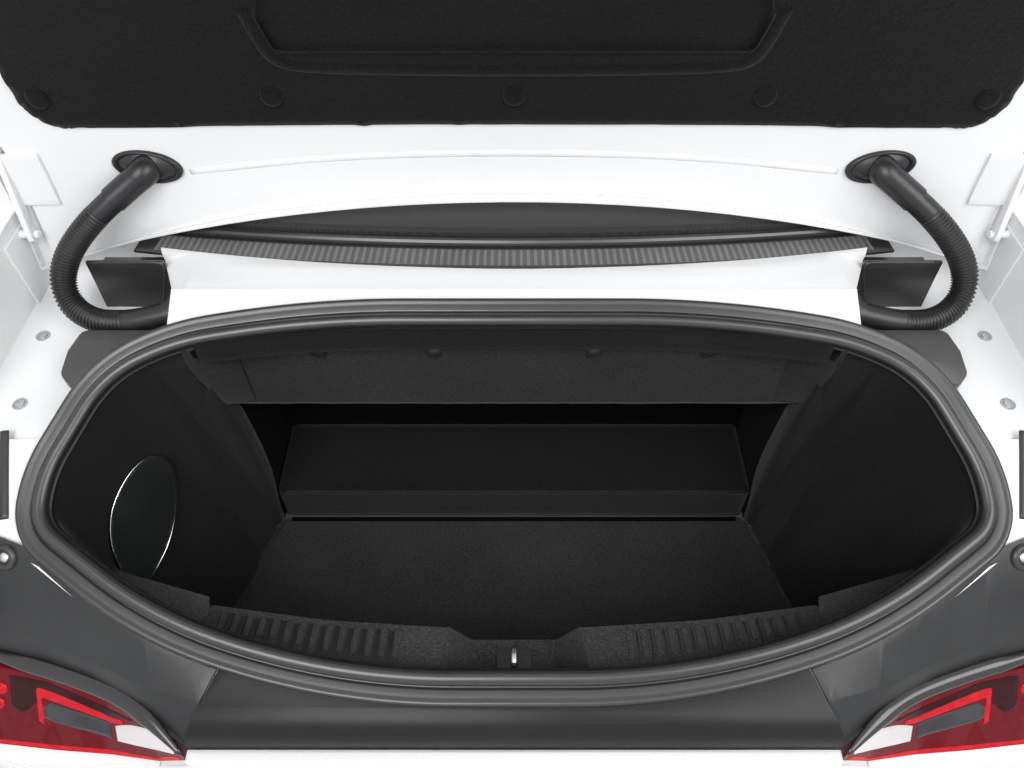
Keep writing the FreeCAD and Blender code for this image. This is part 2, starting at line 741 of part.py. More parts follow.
@lru_cache(maxsize=None)
def skin_block(inset):
    """The body's outside over its whole plan, its surface moved inwards by inset."""
    return Part.makeLoft([skin_section(*row, inset) for row in SKIN_SECTIONS], True, False)


def body_block(inset, corners):
    """The body's outside as one block within a plan outline."""
    plan = both_halves(corners + [(SIDE_X, FAR, 0.0)])
    return skin_block(inset).common(prism(grown(plan, -inset), SKIN_LOW, FAR))


@lru_cache(maxsize=None)
def lid_plan(grow):
    """The closed lid's outline as an upright block, grown outwards."""
    corners = [(LID_REAR_HALF, -300.0, 0.0), (LID_REAR_HALF, 120.0, 160.0), (LID_HALF, 250.0, 160.0), (LID_HALF, FAR, 0.0)]
    outline = prism(grown(both_halves(corners), grow), -FAR, FAR)
    front = Part.makeCylinder(LID_FRONT_R - grow, 2 * FAR, Vector(0, LID_FRONT + LID_FRONT_R, -FAR))
    return outline.cut(front)


@lru_cache(maxsize=None)
def wheel_arch():
    """The round opening in the sides for the rear wheels."""
    return bar((-FAR, ARCH_Y, ARCH_Z), (FAR, ARCH_Y, ARCH_Z), ARCH_R)


def lamp_block(front, back):
    """A block with the right lamp's outline, between two depths behind its face."""
    rows = []
    for x, y_top, z_top, y_low, z_low in LAMP_SECTIONS:
        rows.append((x, [(y_top + front, z_top), (y_low + front, z_low), (y_low + back, z_low), (y_top + back, z_top)]))
    return across(rows)


def make_body_sides():
    """Quarter panels, bumper and tail lamps."""
    upper = body_block(0.0, UPPER_CORNERS).cut(body_block(SKIN, UPPER_CORNERS))
    seam_z = -104.0
    seam_y = LAMP_SECTIONS[-1][1]
    quarter = upper.cut(lid_plan(SHUT_GAP)).common(box_between((0, -FAR, SKIN_LOW), (FAR, MOUNT_FACE, FAR)))
    quarter = quarter.cut(box_between((0, 300.0, -FAR), (LID_HALF + SHUT_GAP, FAR, FAR)))
    quarter = quarter.cut(wheel_arch()).cut(lamp_block(-20.0, LAMP_DEPTH + 1.0))
    below = profile_x([(-FAR, -42.0), (seam_y, -42.0), (seam_y + 30.0, seam_z + 0.6), (FAR, seam_z + 0.6), (FAR, -FAR),
                       (-FAR, -FAR)], 0, FAR)
    arch_side = box_between((0, 300.0, -FAR), (FAR, FAR, FAR))
    quarter = quarter.cut(below.cut(arch_side))
    quarter = sorted(quarter.Solids, key=lambda solid: solid.Volume)[-1]
    save_pair("quarter_panel", quarter)

    lower = body_block(0.0, LOWER_CORNERS).cut(body_block(SKIN, LOWER_CORNERS))
    lower = lower.common(box_between((-FAR, -FAR, SKIN_LOW), (FAR, 299.0, -42.5)))
    cut_points = [(396.0, 0.0), (396.0, -61.0)] + [(x, z - 3.0) for x, _, _, _, z in LAMP_SECTIONS[1:]]
    cut_points += [(FAR, seam_z), (FAR, 0.0)]
    opening = profile_y(cut_points, -FAR, FAR)
    bumper = lower.cut(opening).cut(mirrored(opening)).cut(wheel_arch())
    flange = box_between((-395.0, -70.0, -47.0), (395.0, -40.0, -42.5))
    rows = []
    for x, _, _, y_low, z_low in LAMP_SECTIONS[1:-1]:
        rows.append((x, [(-120.0, z_low - 3.0), (y_low + 30.0, z_low - 3.0), (y_low + 30.0, z_low - 6.0), (-120.0, z_low - 6.0)]))
    shelf = across(rows)
    extras = flange.fuse([shelf, mirrored(shelf)]).common(body_block(1.0, LOWER_CORNERS))
    save("bumper_cover", bumper.fuse(extras))

    lens = lamp_block(0.0, LENS)
    save_pair("tail_lamp_lens", lens)
    save_pair("tail_lamp_housing", lamp_block(LENS + 0.1, LAMP_DEPTH))


# Lid
LID_LINER = 4.0
LID_LINER_CORNERS = [
    # x, y, corner radius: the right half, from the rear to the front
    (430.0, 80.0, 120.0),
    (640.0, 200.0, 100.0),
    (645.0, 443.0, 50.0),
]
LID_RECESS_CORNERS = [
    # x, y, corner radius: the right half, from the rear to the front
    (250.0, 130.0, 30.0),
    (325.0, 339.0, 30.0),
]
LID_RECESS = 12.0
LID_PIN_X = (-613.0, -314.0, 0.0, 325.0, 610.0)
LID_PIN_Y = 395.0
ARM_X = 706.0
ARM_WIDTH = 8.0
ARM_EYE_R = 11.0
BRACKET_X = 733.0


@lru_cache(maxsize=None)
def lid_block(inset):
    """The closed lid as one block, its surface and edges moved inwards by inset."""
    return body_block(inset, UPPER_CORNERS).common(lid_plan(-inset))


def closed_lid_pieces():
    """The lid's pieces, made as it is closed."""
    pieces = {}
    walls = lid_block(0.0).cut(lid_block(SKIN))
    under = profile_x([(60.0, -60.0), (260.0, 190.0), (FAR, 300.0), (FAR, -FAR), (60.0, -FAR)], -FAR, FAR)
    walls = walls.cut(skin_block(LID_DEPTH).common(under))
    walls = walls.cut(box_between((-FAR, -FAR, -FAR), (FAR, FAR, LID_LOW)))
    for hand in (-1, 1):
        walls = walls.cut(bar((hand * (LID_HALF - 12.0), AXIS_Y, AXIS_Z), (hand * (LID_HALF + 12.0), AXIS_Y, AXIS_Z), PIN_R + 3.0))
    pieces["lid_outer"] = walls

    inner = skin_block(LID_DEPTH - LID_PANEL).cut(skin_block(LID_DEPTH))
    edge = body_block(SKIN + FIT, UPPER_CORNERS).common(lid_plan(-SKIN - FIT))
    inner = inner.common(edge)
    inner = inner.cut(prism(grown(both_halves(LID_RECESS_CORNERS), 14.0), -FAR, FAR))
    slot = box_between((ARM_X - 6.0, 470.0, -FAR), (FAR, FAR, FAR))
    inner = inner.cut(slot).cut(mirrored(slot))
    pieces["lid_inner"] = inner

    top = LID_DEPTH + FIT
    liner = skin_block(top).cut(skin_block(top + LID_LINER)).common(prism(both_halves(LID_LINER_CORNERS), -FAR, FAR))
    opening = prism(both_halves(LID_RECESS_CORNERS), -FAR, FAR)
    raised = skin_block(top - LID_RECESS).cut(skin_block(top - LID_RECESS + LID_LINER))
    wall = prism(grown(both_halves(LID_RECESS_CORNERS), LID_LINER), -FAR, FAR)
    rim = skin_block(top - LID_RECESS).cut(skin_block(top + LID_LINER)).common(wall.cut(opening))
    liner = liner.cut(wall).fuse([rim, raised.common(opening)])
    pieces["lid_liner"] = liner

    pins = []
    below = skin_block(top + LID_LINER)
    for x in LID_PIN_X:
        z = first_hit(below, (x, LID_PIN_Y, FAR), (x, LID_PIN_Y, 0)).z
        pins.append(bar((x, LID_PIN_Y, z - 5.0), (x, LID_PIN_Y, z + 2.0), 15.0).common(below))
    pieces["lid_liner_pins"] = Part.makeCompound(pins)

    latch = box_between((-36.0, 50.0, -30.0), (36.0, 96.0, 200.0)).common(skin_block(LID_DEPTH + FIT + LID_LINER))
    slope = profile_x([(40.0, 20.0), (67.0, -31.0), (40.0, -31.0)], -FAR, FAR)
    slot = box_between((-7.5, 0.0, -FAR), (7.5, 200.0, -8.0))
    pieces["lid_latch"] = latch.cut(slope).cut(slot)
    return pieces


def hinge_arm():
    """The right hinge arm: an eye round the pin and a blade along the lid's inside."""
    x_low, x_high = ARM_X, ARM_X + ARM_WIDTH
    blade = profile_x([(AXIS_Y + 6.0, AXIS_Z - ARM_EYE_R), (AXIS_Y + 6.0, AXIS_Z + 8.0), (480.0, AXIS_Z + 12.0),
                       (480.0, AXIS_Z - 6.0), (AXIS_Y - 10.0, AXIS_Z - ARM_EYE_R)], x_low, x_high)
    arm = blade.fuse(bar((x_low, AXIS_Y, AXIS_Z), (x_high, AXIS_Y, AXIS_Z), ARM_EYE_R))
    arm = arm.common(skin_block(SKIN + 0.3))
    arm = arm.cut(bar((x_low - 1, AXIS_Y, AXIS_Z), (x_high + 1, AXIS_Y, AXIS_Z), PIN_R + PIN_FIT))
    foot = box_between((ARM_X - 50.0, 480.0, 0.0), (ARM_X + ARM_WIDTH, 560.0, FAR))
    foot = foot.common(skin_block(LID_DEPTH + 0.3)).cut(skin_block(LID_DEPTH + 5.3))
    return arm.fuse(foot)


def make_lid():
    """The lid and its hinges, opened."""
    for name, piece in closed_lid_pieces().items():
        save(name, opened(piece))
    save_pair("hinge_arm", opened(hinge_arm()))
    save_both("lid_grommets", lid_grommet())
    plate = box_between((BRACKET_X - 5.0, 560.0, POCKET_FLOOR + 0.3), (BRACKET_X - 0.3, 650.0, AXIS_Z + 8.0))
    pin = bar((ARM_X - 6.0, AXIS_Y, AXIS_Z), (BRACKET_X - 1.0, AXIS_Y, AXIS_Z), PIN_R)
    save_pair("hinge_bracket", plate.common(skin_block(SKIN + 0.3)).fuse(pin))


# Pieces in the hinge pockets
CONDUIT_R = 18.0
CONDUIT_ROUTE = [
    # x, y, z of the right conduit, from the body to the lid
    (498.0, 497.0, 171.0),
    (530.0, 492.0, 165.0),
    (570.0, 490.0, 159.0),
    (612.0, 496.0, 157.0),
    (646.0, 514.0, 168.0),
    (656.0, 536.0, 196.0),
    (644.0, 556.0, 226.0),
    (614.0, 574.0, 258.0),
    (578.0, 590.0, 286.0),
    (546.0, 606.0, 306.0),
]
GROMMET_R = 22.0
LID_GROMMET = (514.0, 505.0)
LID_GROMMET_HALF = (48.0, 26.0)
LID_GROMMET_HEIGHT = 7.0
COVER_SIDE = 622.0
COVER_PROFILE = [
    # y, z of the hinge cover from the side
    (552.0, 130.3),
    (556.0, 190.0),
    (557.0, 216.0),
    (564.0, 214.0),
    (568.0, 205.5),
    (577.0, 194.5),
    (592.0, 184.5),
    (606.0, 183.0),
    (606.0, 130.3),
]


def conduit():
    """The right cable conduit: straight runs joined by tangent arcs."""
    points = [Vector(*row) for row in CONDUIT_ROUTE]
    edges = []
    here = points[0]
    for before, corner, after in zip(points, points[1:], points[2:]):
        to_before = (before - corner)
        to_after = (after - corner)
        reach = 0.45 * min(to_before.Length, to_after.Length)
        half_turn = (math.pi - to_before.getAngle(to_after)) / 2
        radius = reach / math.tan(half_turn)
        start = corner + Vector(to_before).normalize() * reach
        end = corner + Vector(to_after).normalize() * reach
        inward = (Vector(to_before).normalize() + Vector(to_after).normalize()).normalize()
        middle = corner + inward * radius * (1 / math.cos(half_turn) - 1)
        edges.append(Part.LineSegment(here, start).toShape())
        edges.append(Part.Arc(start, middle, end).toShape())
        print("conduit radius", round(radius))
        here = end
    edges.append(Part.LineSegment(here, points[-1]).toShape())
    path = Part.Wire(edges)
    circle = Part.Circle(points[0], points[1] - points[0], CONDUIT_R)
    tube = path.makePipeShell([Part.Wire(circle.toShape())], True, False)
    print("conduit length", round(path.Length), "volume ratio", tube.Volume / (path.Length * math.pi * CONDUIT_R ** 2))
    return tube


def make_pocket_pieces():
    """Hinge covers, corner guards, conduits and their grommets."""
    cover = profile_x(COVER_PROFILE, 470.0, COVER_SIDE).common(pocket_space(-0.6, POCKET_FLOOR + 0.3))
    rounded = [edge for edge in cover.Edges if edge.BoundBox.ZMin > 205.0 and edge.BoundBox.YMax < 560.0]
    save_both("hinge_covers", cover.makeFillet(3.0, rounded))
    guard_plan = [(500.0, 420.0, 4.0), (612.0, 384.0, 12.0), (628.0, 398.0, 12.0), (616.0, 470.0, 12.0), (500.0, 470.0, 4.0)]
    guard = prism(guard_plan, POCKET_FLOOR + 0.3, 165.0).cut(mouth_block(DECK_RIM + 0.3, -FAR, FAR))
    guard = guard.common(on_deck(box_between((-FAR, -FAR, -FAR), (FAR, FAR, -24.0))))
    save_both("corner_guards", guard)
    save_pair("conduit", conduit())
    start, after = Vector(*CONDUIT_ROUTE[0]), Vector(*CONDUIT_ROUTE[1])
    ahead = (after - start).normalize()
    neck = bar(start - ahead * 40.0, start - ahead * 0.3, GROMMET_R)
    foot = bar(start - ahead * 40.0, start - ahead * 12.0, GROMMET_R + 6.0)
    save_both("conduit_grommets", neck.fuse(foot).common(pocket_space(-0.3, POCKET_FLOOR + 0.3)))


def lid_grommet():
    """The right oval grommet in the lid, in its open place, with a neck for the conduit."""
    x, y = LID_GROMMET
    along, across_it = LID_GROMMET_HALF
    ellipse = Part.Ellipse(Vector(x, y, 0), along, across_it)
    column = Part.Face(Part.Wire(ellipse.toShape())).extrude(Vector(0, 0, FAR))
    surface = skin_block(LID_DEPTH + 0.3)
    base = column.common(surface).cut(skin_block(LID_DEPTH + LID_GROMMET_HEIGHT))
    base = opened(base)
    end, before = Vector(*CONDUIT_ROUTE[-1]), Vector(*CONDUIT_ROUTE[-2])
    onward = (end - before).normalize()
    neck = bar(end + onward * 0.3, end + onward * 92.0, GROMMET_R - 1.0)
    return base.fuse(neck.common(opened(surface)))


os.makedirs("parts", exist_ok=True)
save("boot_tub", make_tub())
make_rails()
make_liners()
make_floor()
make_flap()
make_sill()
make_striker()
make_oval()
make_deck()
make_pockets()
make_seals()
make_rear_panels()
make_bump_stops()
make_body_sides()
make_lid()
make_pocket_pieces()
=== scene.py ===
"""Looks of a roadster's boot section: the lined load space, its sealed mouth and the open lid."""
import logging
import math
from dataclasses import dataclass, field, replace
from enum import Enum
from typing import Callable, Iterable, Optional, Sequence

import bmesh
import bpy
from mathutils import Matrix, Vector, noise
from mathutils.bvhtree import BVHTree


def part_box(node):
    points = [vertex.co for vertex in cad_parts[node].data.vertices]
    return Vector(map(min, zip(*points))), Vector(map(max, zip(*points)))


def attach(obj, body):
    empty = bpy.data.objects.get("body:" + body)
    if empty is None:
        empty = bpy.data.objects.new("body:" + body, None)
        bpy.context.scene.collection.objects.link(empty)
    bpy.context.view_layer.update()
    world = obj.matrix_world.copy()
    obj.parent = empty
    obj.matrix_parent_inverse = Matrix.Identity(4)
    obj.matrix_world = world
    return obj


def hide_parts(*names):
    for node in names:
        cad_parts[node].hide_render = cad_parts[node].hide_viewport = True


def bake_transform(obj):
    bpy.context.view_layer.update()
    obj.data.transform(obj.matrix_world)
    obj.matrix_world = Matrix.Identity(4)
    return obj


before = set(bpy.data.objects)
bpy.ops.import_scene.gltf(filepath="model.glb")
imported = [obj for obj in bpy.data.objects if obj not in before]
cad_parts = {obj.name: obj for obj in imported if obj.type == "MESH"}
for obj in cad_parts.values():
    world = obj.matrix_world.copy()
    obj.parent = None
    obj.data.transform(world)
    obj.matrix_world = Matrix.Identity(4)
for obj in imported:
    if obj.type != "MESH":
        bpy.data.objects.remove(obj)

log = logging.getLogger("boot_section")
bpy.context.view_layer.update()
MM = 0.001
ORIGIN_SHIFT = Vector((0.0, -0.700, 0.120))
MOUTH_SLOPE = math.radians(24.0)
BODY = "boot"
LID = "lid"
UP = Vector((0.0, 0.0, 1.0))
Pair = tuple[float, float]
Point = tuple[float, float, float]


class Hand(Enum):
    """A side of the car, as the sign of its x."""

    LEFT = -1
    RIGHT = 1

    @property
    def word(self) -> str:
        """The side's name as the nodes use it."""
        return self.name.lower()


def place(x: float, y: float, z: float) -> Vector:
    """A point of the mouth frame in millimetres, as the row frame in metres."""
    return Vector((x, y, z)) * MM + ORIGIN_SHIFT


def on_mouth(x: float, along: float, height: float = 0.0) -> Vector:
    """A point given in the mouth's plane, as the row frame in metres.

    Args:
        x: Place across the car in millimetres.
        along: Place up the slope from the mouth's rear edge.
        height: Height over the mouth's plane.

    Returns:
        The point in the row frame.
    """
    cos, sin = math.cos(MOUTH_SLOPE), math.sin(MOUTH_SLOPE)
    return place(x, along * cos - height * sin, along * sin + height * cos)


# Finishes


class NodeSheet:
    """A material's nodes, made and linked by short calls."""

    def __init__(self, name: str) -> None:
        """Starts a material with one shader."""
        self.material = bpy.data.materials.new(name)
        self.material.use_nodes = True
        self.tree = self.material.node_tree
        self.shader = self.tree.nodes["Principled BSDF"]
        self.place = self.add("ShaderNodeTexCoord").outputs["Object"]

    def add(self, kind: str, **settings: object) -> bpy.types.Node:
        """Adds a node and sets its attributes and its input sockets.

        Args:
            kind: The node's type.
            settings: Attributes by name, and sockets as i_NAME.

        Returns:
            The node.
        """
        node = self.tree.nodes.new(kind)
        for key, value in settings.items():
            if not key.startswith("i_"):
                setattr(node, key, value)
        for key, value in settings.items():
            if key.startswith("i_"):
                self.feed(node, key[2:].replace("_", " "), value)
        return node

    def feed(self, node: bpy.types.Node, socket: str, value: object) -> None:
        """Links a socket to an output, or sets its number or colour."""
        target = node.inputs[int(socket)] if socket.isdigit() else node.inputs[socket]
        if isinstance(value, bpy.types.NodeSocket):
            self.tree.links.new(value, target)
        else:
            target.default_value = value

    def stretched(self, scale: Sequence[float], turn: Sequence[float] = (0, 0, 0)) -> bpy.types.NodeSocket:
        """Object coordinates, scaled and turned for a pattern."""
        mapping = self.add("ShaderNodeMapping", i_Vector=self.place)
        mapping.inputs["Scale"].default_value = scale
        mapping.inputs["Rotation"].default_value = turn
        return mapping.outputs[0]

    def noise(self, scale: float, detail: float = 3.0, place: Optional[bpy.types.NodeSocket] = None,
              rough: float = 0.55) -> bpy.types.NodeSocket:
        """A noise pattern's value."""
        node = self.add("ShaderNodeTexNoise", i_Vector=place or self.place, i_Scale=scale, i_Detail=detail,
                        i_Roughness=rough)
        return node.outputs["Fac"]

    def cells(self, scale: float, place: Optional[bpy.types.NodeSocket] = None,
              feature: str = "F1") -> bpy.types.NodeSocket:
        """A cell pattern's distance."""
        node = self.add("ShaderNodeTexVoronoi", feature=feature, i_Vector=place or self.place, i_Scale=scale)
        return node.outputs["Distance"]

    def ramp(self, value: bpy.types.NodeSocket,
             stops: Sequence[tuple[float, Sequence[float]]]) -> bpy.types.NodeSocket:
        """A colour ramp through stops of a place and a colour."""
        node = self.add("ShaderNodeValToRGB", i_Fac=value)
        elements = node.color_ramp.elements
        while len(elements) < len(stops):
            elements.new(0.5)
        for element, (where, color) in zip(elements, stops):
            element.position = where
            element.color = (*color, 1.0)
        return node.outputs["Color"]

    def math(self, kind: str, first: object, second: object = 0.5) -> bpy.types.NodeSocket:
        """The result of a sum on two values."""
        return self.add("ShaderNodeMath", operation=kind, i_0=first, i_1=second).outputs[0]

    def range(self, value: bpy.types.NodeSocket, low: float, high: float) -> bpy.types.NodeSocket:
        """A value from 0 to 1, moved to a range."""
        node = self.add("ShaderNodeMapRange", i_Value=value)
        node.inputs["To Min"].default_value = low
        node.inputs["To Max"].default_value = high
        return node.outputs["Result"]

    def bump(self, height: bpy.types.NodeSocket, distance: float, strength: float = 1.0,
             normal: Optional[bpy.types.NodeSocket] = None) -> bpy.types.NodeSocket:
        """A bump of a real height in metres."""
        node = self.add("ShaderNodeBump", i_Height=height, i_Strength=strength, i_Distance=distance)
        if normal is not None:
            self.feed(node, "Normal", normal)
        return node.outputs["Normal"]

    def shade(self, **sockets: object) -> bpy.types.Material:
        """Sets the shader's own sockets and returns the material."""
        for key, value in sockets.items():
            self.feed(self.shader, key.replace("_", " "), value)
        return self.material


@dataclass(frozen=True)
class Finish:
    """A finish by its name and main colour."""

    name: str
    color: Point

    def make(self) -> bpy.types.Material:
        """Builds the material."""
        raise NotImplementedError


@dataclass(frozen=True)
class Paint(Finish):
    """Gloss or satin car paint with a fine peel."""

    roughness: float = 0.28
    coat: float = 0.6

    def make(self) -> bpy.types.Material:
        """Builds the material."""
        sheet = NodeSheet(self.name)
        peel = sheet.noise(260.0, 2.0)
        cloud = sheet.noise(3.0, 2.0)
        dark = tuple(part * 0.965 for part in self.color)
        color = sheet.ramp(cloud, [(0.3, dark), (0.7, self.color)])
        rough = sheet.range(sheet.noise(40.0, 3.0), self.roughness * 0.85, self.roughness * 1.15)
        return sheet.shade(Base_Color=color, Roughness=rough, Coat_Weight=self.coat, Coat_Roughness=0.06,
                           Normal=sheet.bump(peel, 0.00004))


@dataclass(frozen=True)
class Felt(Finish):
    """Needled felt or short carpet: fibres, small tufts and soft wear."""

    fibre: float = 1400.0
    tuft: float = 190.0
    depth: float = 0.0005
    sheen: float = 0.12

    def make(self) -> bpy.types.Material:
        """Builds the material."""
        sheet = NodeSheet(self.name)
        fibres = sheet.noise(self.fibre, 4.0, sheet.stretched((1.0, 0.35, 0.6), (0.5, 0.3, 0.9)), 0.7)
        strands = sheet.noise(self.fibre * 0.8, 3.0, sheet.stretched((0.3, 1.0, 0.5), (0.9, 0.2, 0.4)), 0.7)
        tufts = sheet.cells(self.tuft)
        wear = sheet.noise(7.0, 4.0)
        mix = sheet.math("MULTIPLY", fibres, strands)
        height = sheet.math("MULTIPLY_ADD", tufts, 0.5)
        height.node.inputs[2].default_value = 0.0
        sheet.feed(height.node, "2", mix)
        low = tuple(part * 0.45 for part in self.color)
        high = tuple(min(1.0, part * 2.3 + 0.004) for part in self.color)
        base = sheet.ramp(mix, [(0.16, low), (0.29, self.color), (0.44, high)])
        tint = sheet.ramp(wear, [(0.3, (0.82, 0.82, 0.83)), (0.7, (1.12, 1.11, 1.10))])
        blend = sheet.add("ShaderNodeMix", data_type="RGBA", blend_type="MULTIPLY")
        blend.inputs["Factor"].default_value = 1.0
        sheet.tree.links.new(base, blend.inputs[6])
        sheet.tree.links.new(tint, blend.inputs[7])
        return sheet.shade(Base_Color=blend.outputs[2], Roughness=0.96, Sheen_Weight=self.sheen,
                           Sheen_Roughness=0.5, Specular_IOR_Level=self.sheen,
                           Normal=sheet.bump(height, self.depth))


@dataclass(frozen=True)
class Moulded(Finish):
    """Moulded plastic or rubber with a fine grain."""

    roughness: float = 0.5
    grain: float = 900.0
    depth: float = 0.00008
    specular: float = 0.5

    def make(self) -> bpy.types.Material:
        """Builds the material."""
        sheet = NodeSheet(self.name)
        grain = sheet.cells(self.grain)
        cloud = sheet.noise(9.0, 4.0)
        pale = tuple(part * 1.25 + 0.002 for part in self.color)
        color = sheet.ramp(cloud, [(0.35, self.color), (0.75, pale)])
        rough = sheet.range(sheet.noise(30.0, 3.0), self.roughness * 0.88, self.roughness * 1.12)
        return sheet.shade(Base_Color=color, Roughness=rough, Specular_IOR_Level=self.specular,
                           Normal=sheet.bump(grain, self.depth))


@dataclass(frozen=True)
class Metal(Finish):
    """Bare or plated steel with faint drawing marks."""

    roughness: float = 0.3

    def make(self) -> bpy.types.Material:
        """Builds the material."""
        sheet = NodeSheet(self.name)
        marks = sheet.noise(500.0, 3.0, sheet.stretched((1.0, 0.05, 1.0)))
        rough = sheet.range(marks, self.roughness * 0.8, self.roughness * 1.3)
        return sheet.shade(Base_Color=(*self.color, 1.0), Metallic=1.0, Roughness=rough,
                           Normal=sheet.bump(marks, 0.00002))


@dataclass(frozen=True)
class Textile(Finish):
    """Dark woven hood cloth."""

    pitch: float = 0.0011

    def make(self) -> bpy.types.Material:
        """Builds the material."""
        sheet = NodeSheet(self.name)
        waves = []
        for direction in ("X", "Y"):
            wave = sheet.add("ShaderNodeTexWave", wave_type="BANDS", bands_direction=direction,
                             i_Vector=sheet.place, i_Scale=0.314 / self.pitch, i_Distortion=0.4)
            waves.append(wave.outputs["Fac"])
        weave = sheet.math("MULTIPLY", *waves)
        dark = tuple(part * 0.6 for part in self.color)
        color = sheet.ramp(weave, [(0.1, dark), (0.8, self.color)])
        return sheet.shade(Base_Color=color, Roughness=0.9, Sheen_Weight=0.2, Specular_IOR_Level=0.2,
                           Normal=sheet.bump(weave, 0.0003))


@dataclass(frozen=True)
class LampRed(Finish):
    """Deep red lamp cover."""

    roughness: float = 0.06

    def make(self) -> bpy.types.Material:
        """Builds the material."""
        sheet = NodeSheet(self.name)
        flutes = sheet.noise(90.0, 2.0)
        dark = tuple(part * 0.72 for part in self.color)
        color = sheet.ramp(flutes, [(0.3, dark), (0.7, self.color)])
        return sheet.shade(Base_Color=color, Roughness=self.roughness, Coat_Weight=0.05, Coat_Roughness=0.03,
                           Specular_IOR_Level=0.16)


FINISHES: tuple[Finish, ...] = (
    Paint("body_paint", (0.86, 0.865, 0.87)),
    Paint("inner_paint", (0.84, 0.845, 0.85), 0.34, 0.4),
    Paint("tub_paint", (0.12, 0.125, 0.13), 0.5, 0.1),
    Felt("felt", (0.0080, 0.0080, 0.0084)),
    Felt("flap_felt", (0.0240, 0.0240, 0.0248)),
    # Painted shade: a darker copy of the felt, with almost no sheen, for the shaded recess behind the flap.
    Felt("recess_felt", (0.0036, 0.0036, 0.0042), sheen=0.02),
    # Painted light: a lighter copy of the felt for the lit tops of the walls' rear ledges.
    Felt("lit_ledge_felt", (0.0620, 0.0610, 0.0585)),
    Felt("lid_felt", (0.0062, 0.0062, 0.0065), 1100.0, 150.0, 0.0006),
    Felt("carpet", (0.0100, 0.0100, 0.0104), 1200.0, 260.0, 0.0008),
    Felt("floor_carpet", (0.0430, 0.0432, 0.0438), 1200.0, 260.0, 0.0008),
    Felt("sill_grain", (0.0480, 0.0485, 0.0490), 900.0, 600.0, 0.0002),
    Moulded("seal_rubber", (0.020, 0.020, 0.0200), 0.30, 500.0, 0.00002, 0.8),
    Moulded("guard_rubber", (0.050, 0.050, 0.049), 0.40, 500.0, 0.00002),
    Moulded("cover_plastic", (0.022, 0.022, 0.022), 0.30, 900.0, 0.00003, 0.6),
    Moulded("boss_plastic", (0.030, 0.030, 0.031), 0.30, 900.0, 0.00002),
    Moulded("hose_rubber", (0.014, 0.014, 0.015), 0.34, 700.0, 0.00002),
    Moulded("black_plastic", (0.014, 0.014, 0.015), 0.46, 1100.0, 0.00006),
    # Painted shade for the dark strips in the sill's grooves.
    Moulded("groove", (0.009, 0.009, 0.0095), 0.45, 900.0, 0.00004),
    Moulded("satin_panel", (0.020, 0.0205, 0.021), 0.36, 1400.0, 0.00001, 0.4),
    Moulded("cross_panel", (0.010, 0.010, 0.0105), 0.34, 1400.0, 0.00001, 0.25),
    Moulded("gloss_rim", (0.012, 0.012, 0.0125), 0.16, 1400.0, 0.000005, 0.8),
    Moulded("oval_panel", (0.0085, 0.0100, 0.0092), 0.55, 1400.0, 0.00001),
    Moulded("tonneau_flange", (0.085, 0.084, 0.082), 0.45, 900.0, 0.00003),
    # Painted highlight: the ribs are a lighter copy of the flange rubber.
    Moulded("tonneau_rib_highlight", (0.150, 0.149, 0.146), 0.42, 900.0, 0.00003),
    Textile("textile", (0.035, 0.035, 0.036)),
    Metal("steel", (0.62, 0.62, 0.63)),
    LampRed("lamp_red", (0.150, 0.0050, 0.0110)),
    LampRed("lamp_dark", (0.035, 0.0040, 0.0060)),
    # Painted reflection: pale metal for the patch near the lamp's tip where the backdrop shows on the lens.
    Metal("painted_reflection", (0.90, 0.86, 0.86), 0.35),
    LampRed("lamp_bright", (0.62, 0.010, 0.020), 0.12),
    Moulded("lamp_glass", (0.030, 0.030, 0.034), 0.08, 1400.0, 0.000004),
    Moulded("lamp_body", (0.06, 0.006, 0.008), 0.3, 900.0, 0.00002),
    Metal("bright_edge", (0.85, 0.86, 0.87), 0.12),
)


# Mesh tools


def mesh_object(name: str, shape: bmesh.types.BMesh) -> bpy.types.Object:
    """Makes an object at the origin from a bmesh and frees it."""
    mesh = bpy.data.meshes.new(name)
    shape.to_mesh(mesh)
    shape.free()
    made = bpy.data.objects.new(name, mesh)
    bpy.context.scene.collection.objects.link(made)
    return made


def evaluated(made: bpy.types.Object) -> bpy.types.Mesh:
    """The object's mesh with its modifiers applied."""
    graph = bpy.context.evaluated_depsgraph_get()
    graph.update()
    return bpy.data.meshes.new_from_object(made.evaluated_get(graph), depsgraph=graph)


def apply_modifiers(made: bpy.types.Object) -> bpy.types.Object:
    """Replaces the object's mesh by the one its modifiers make."""
    mesh = evaluated(made)
    made.modifiers.clear()
    made.data = mesh
    return made


def shade_smooth(mesh: bpy.types.Mesh) -> None:
    """Shades every face smooth."""
    mesh.polygons.foreach_set("use_smooth", [True] * len(mesh.polygons))


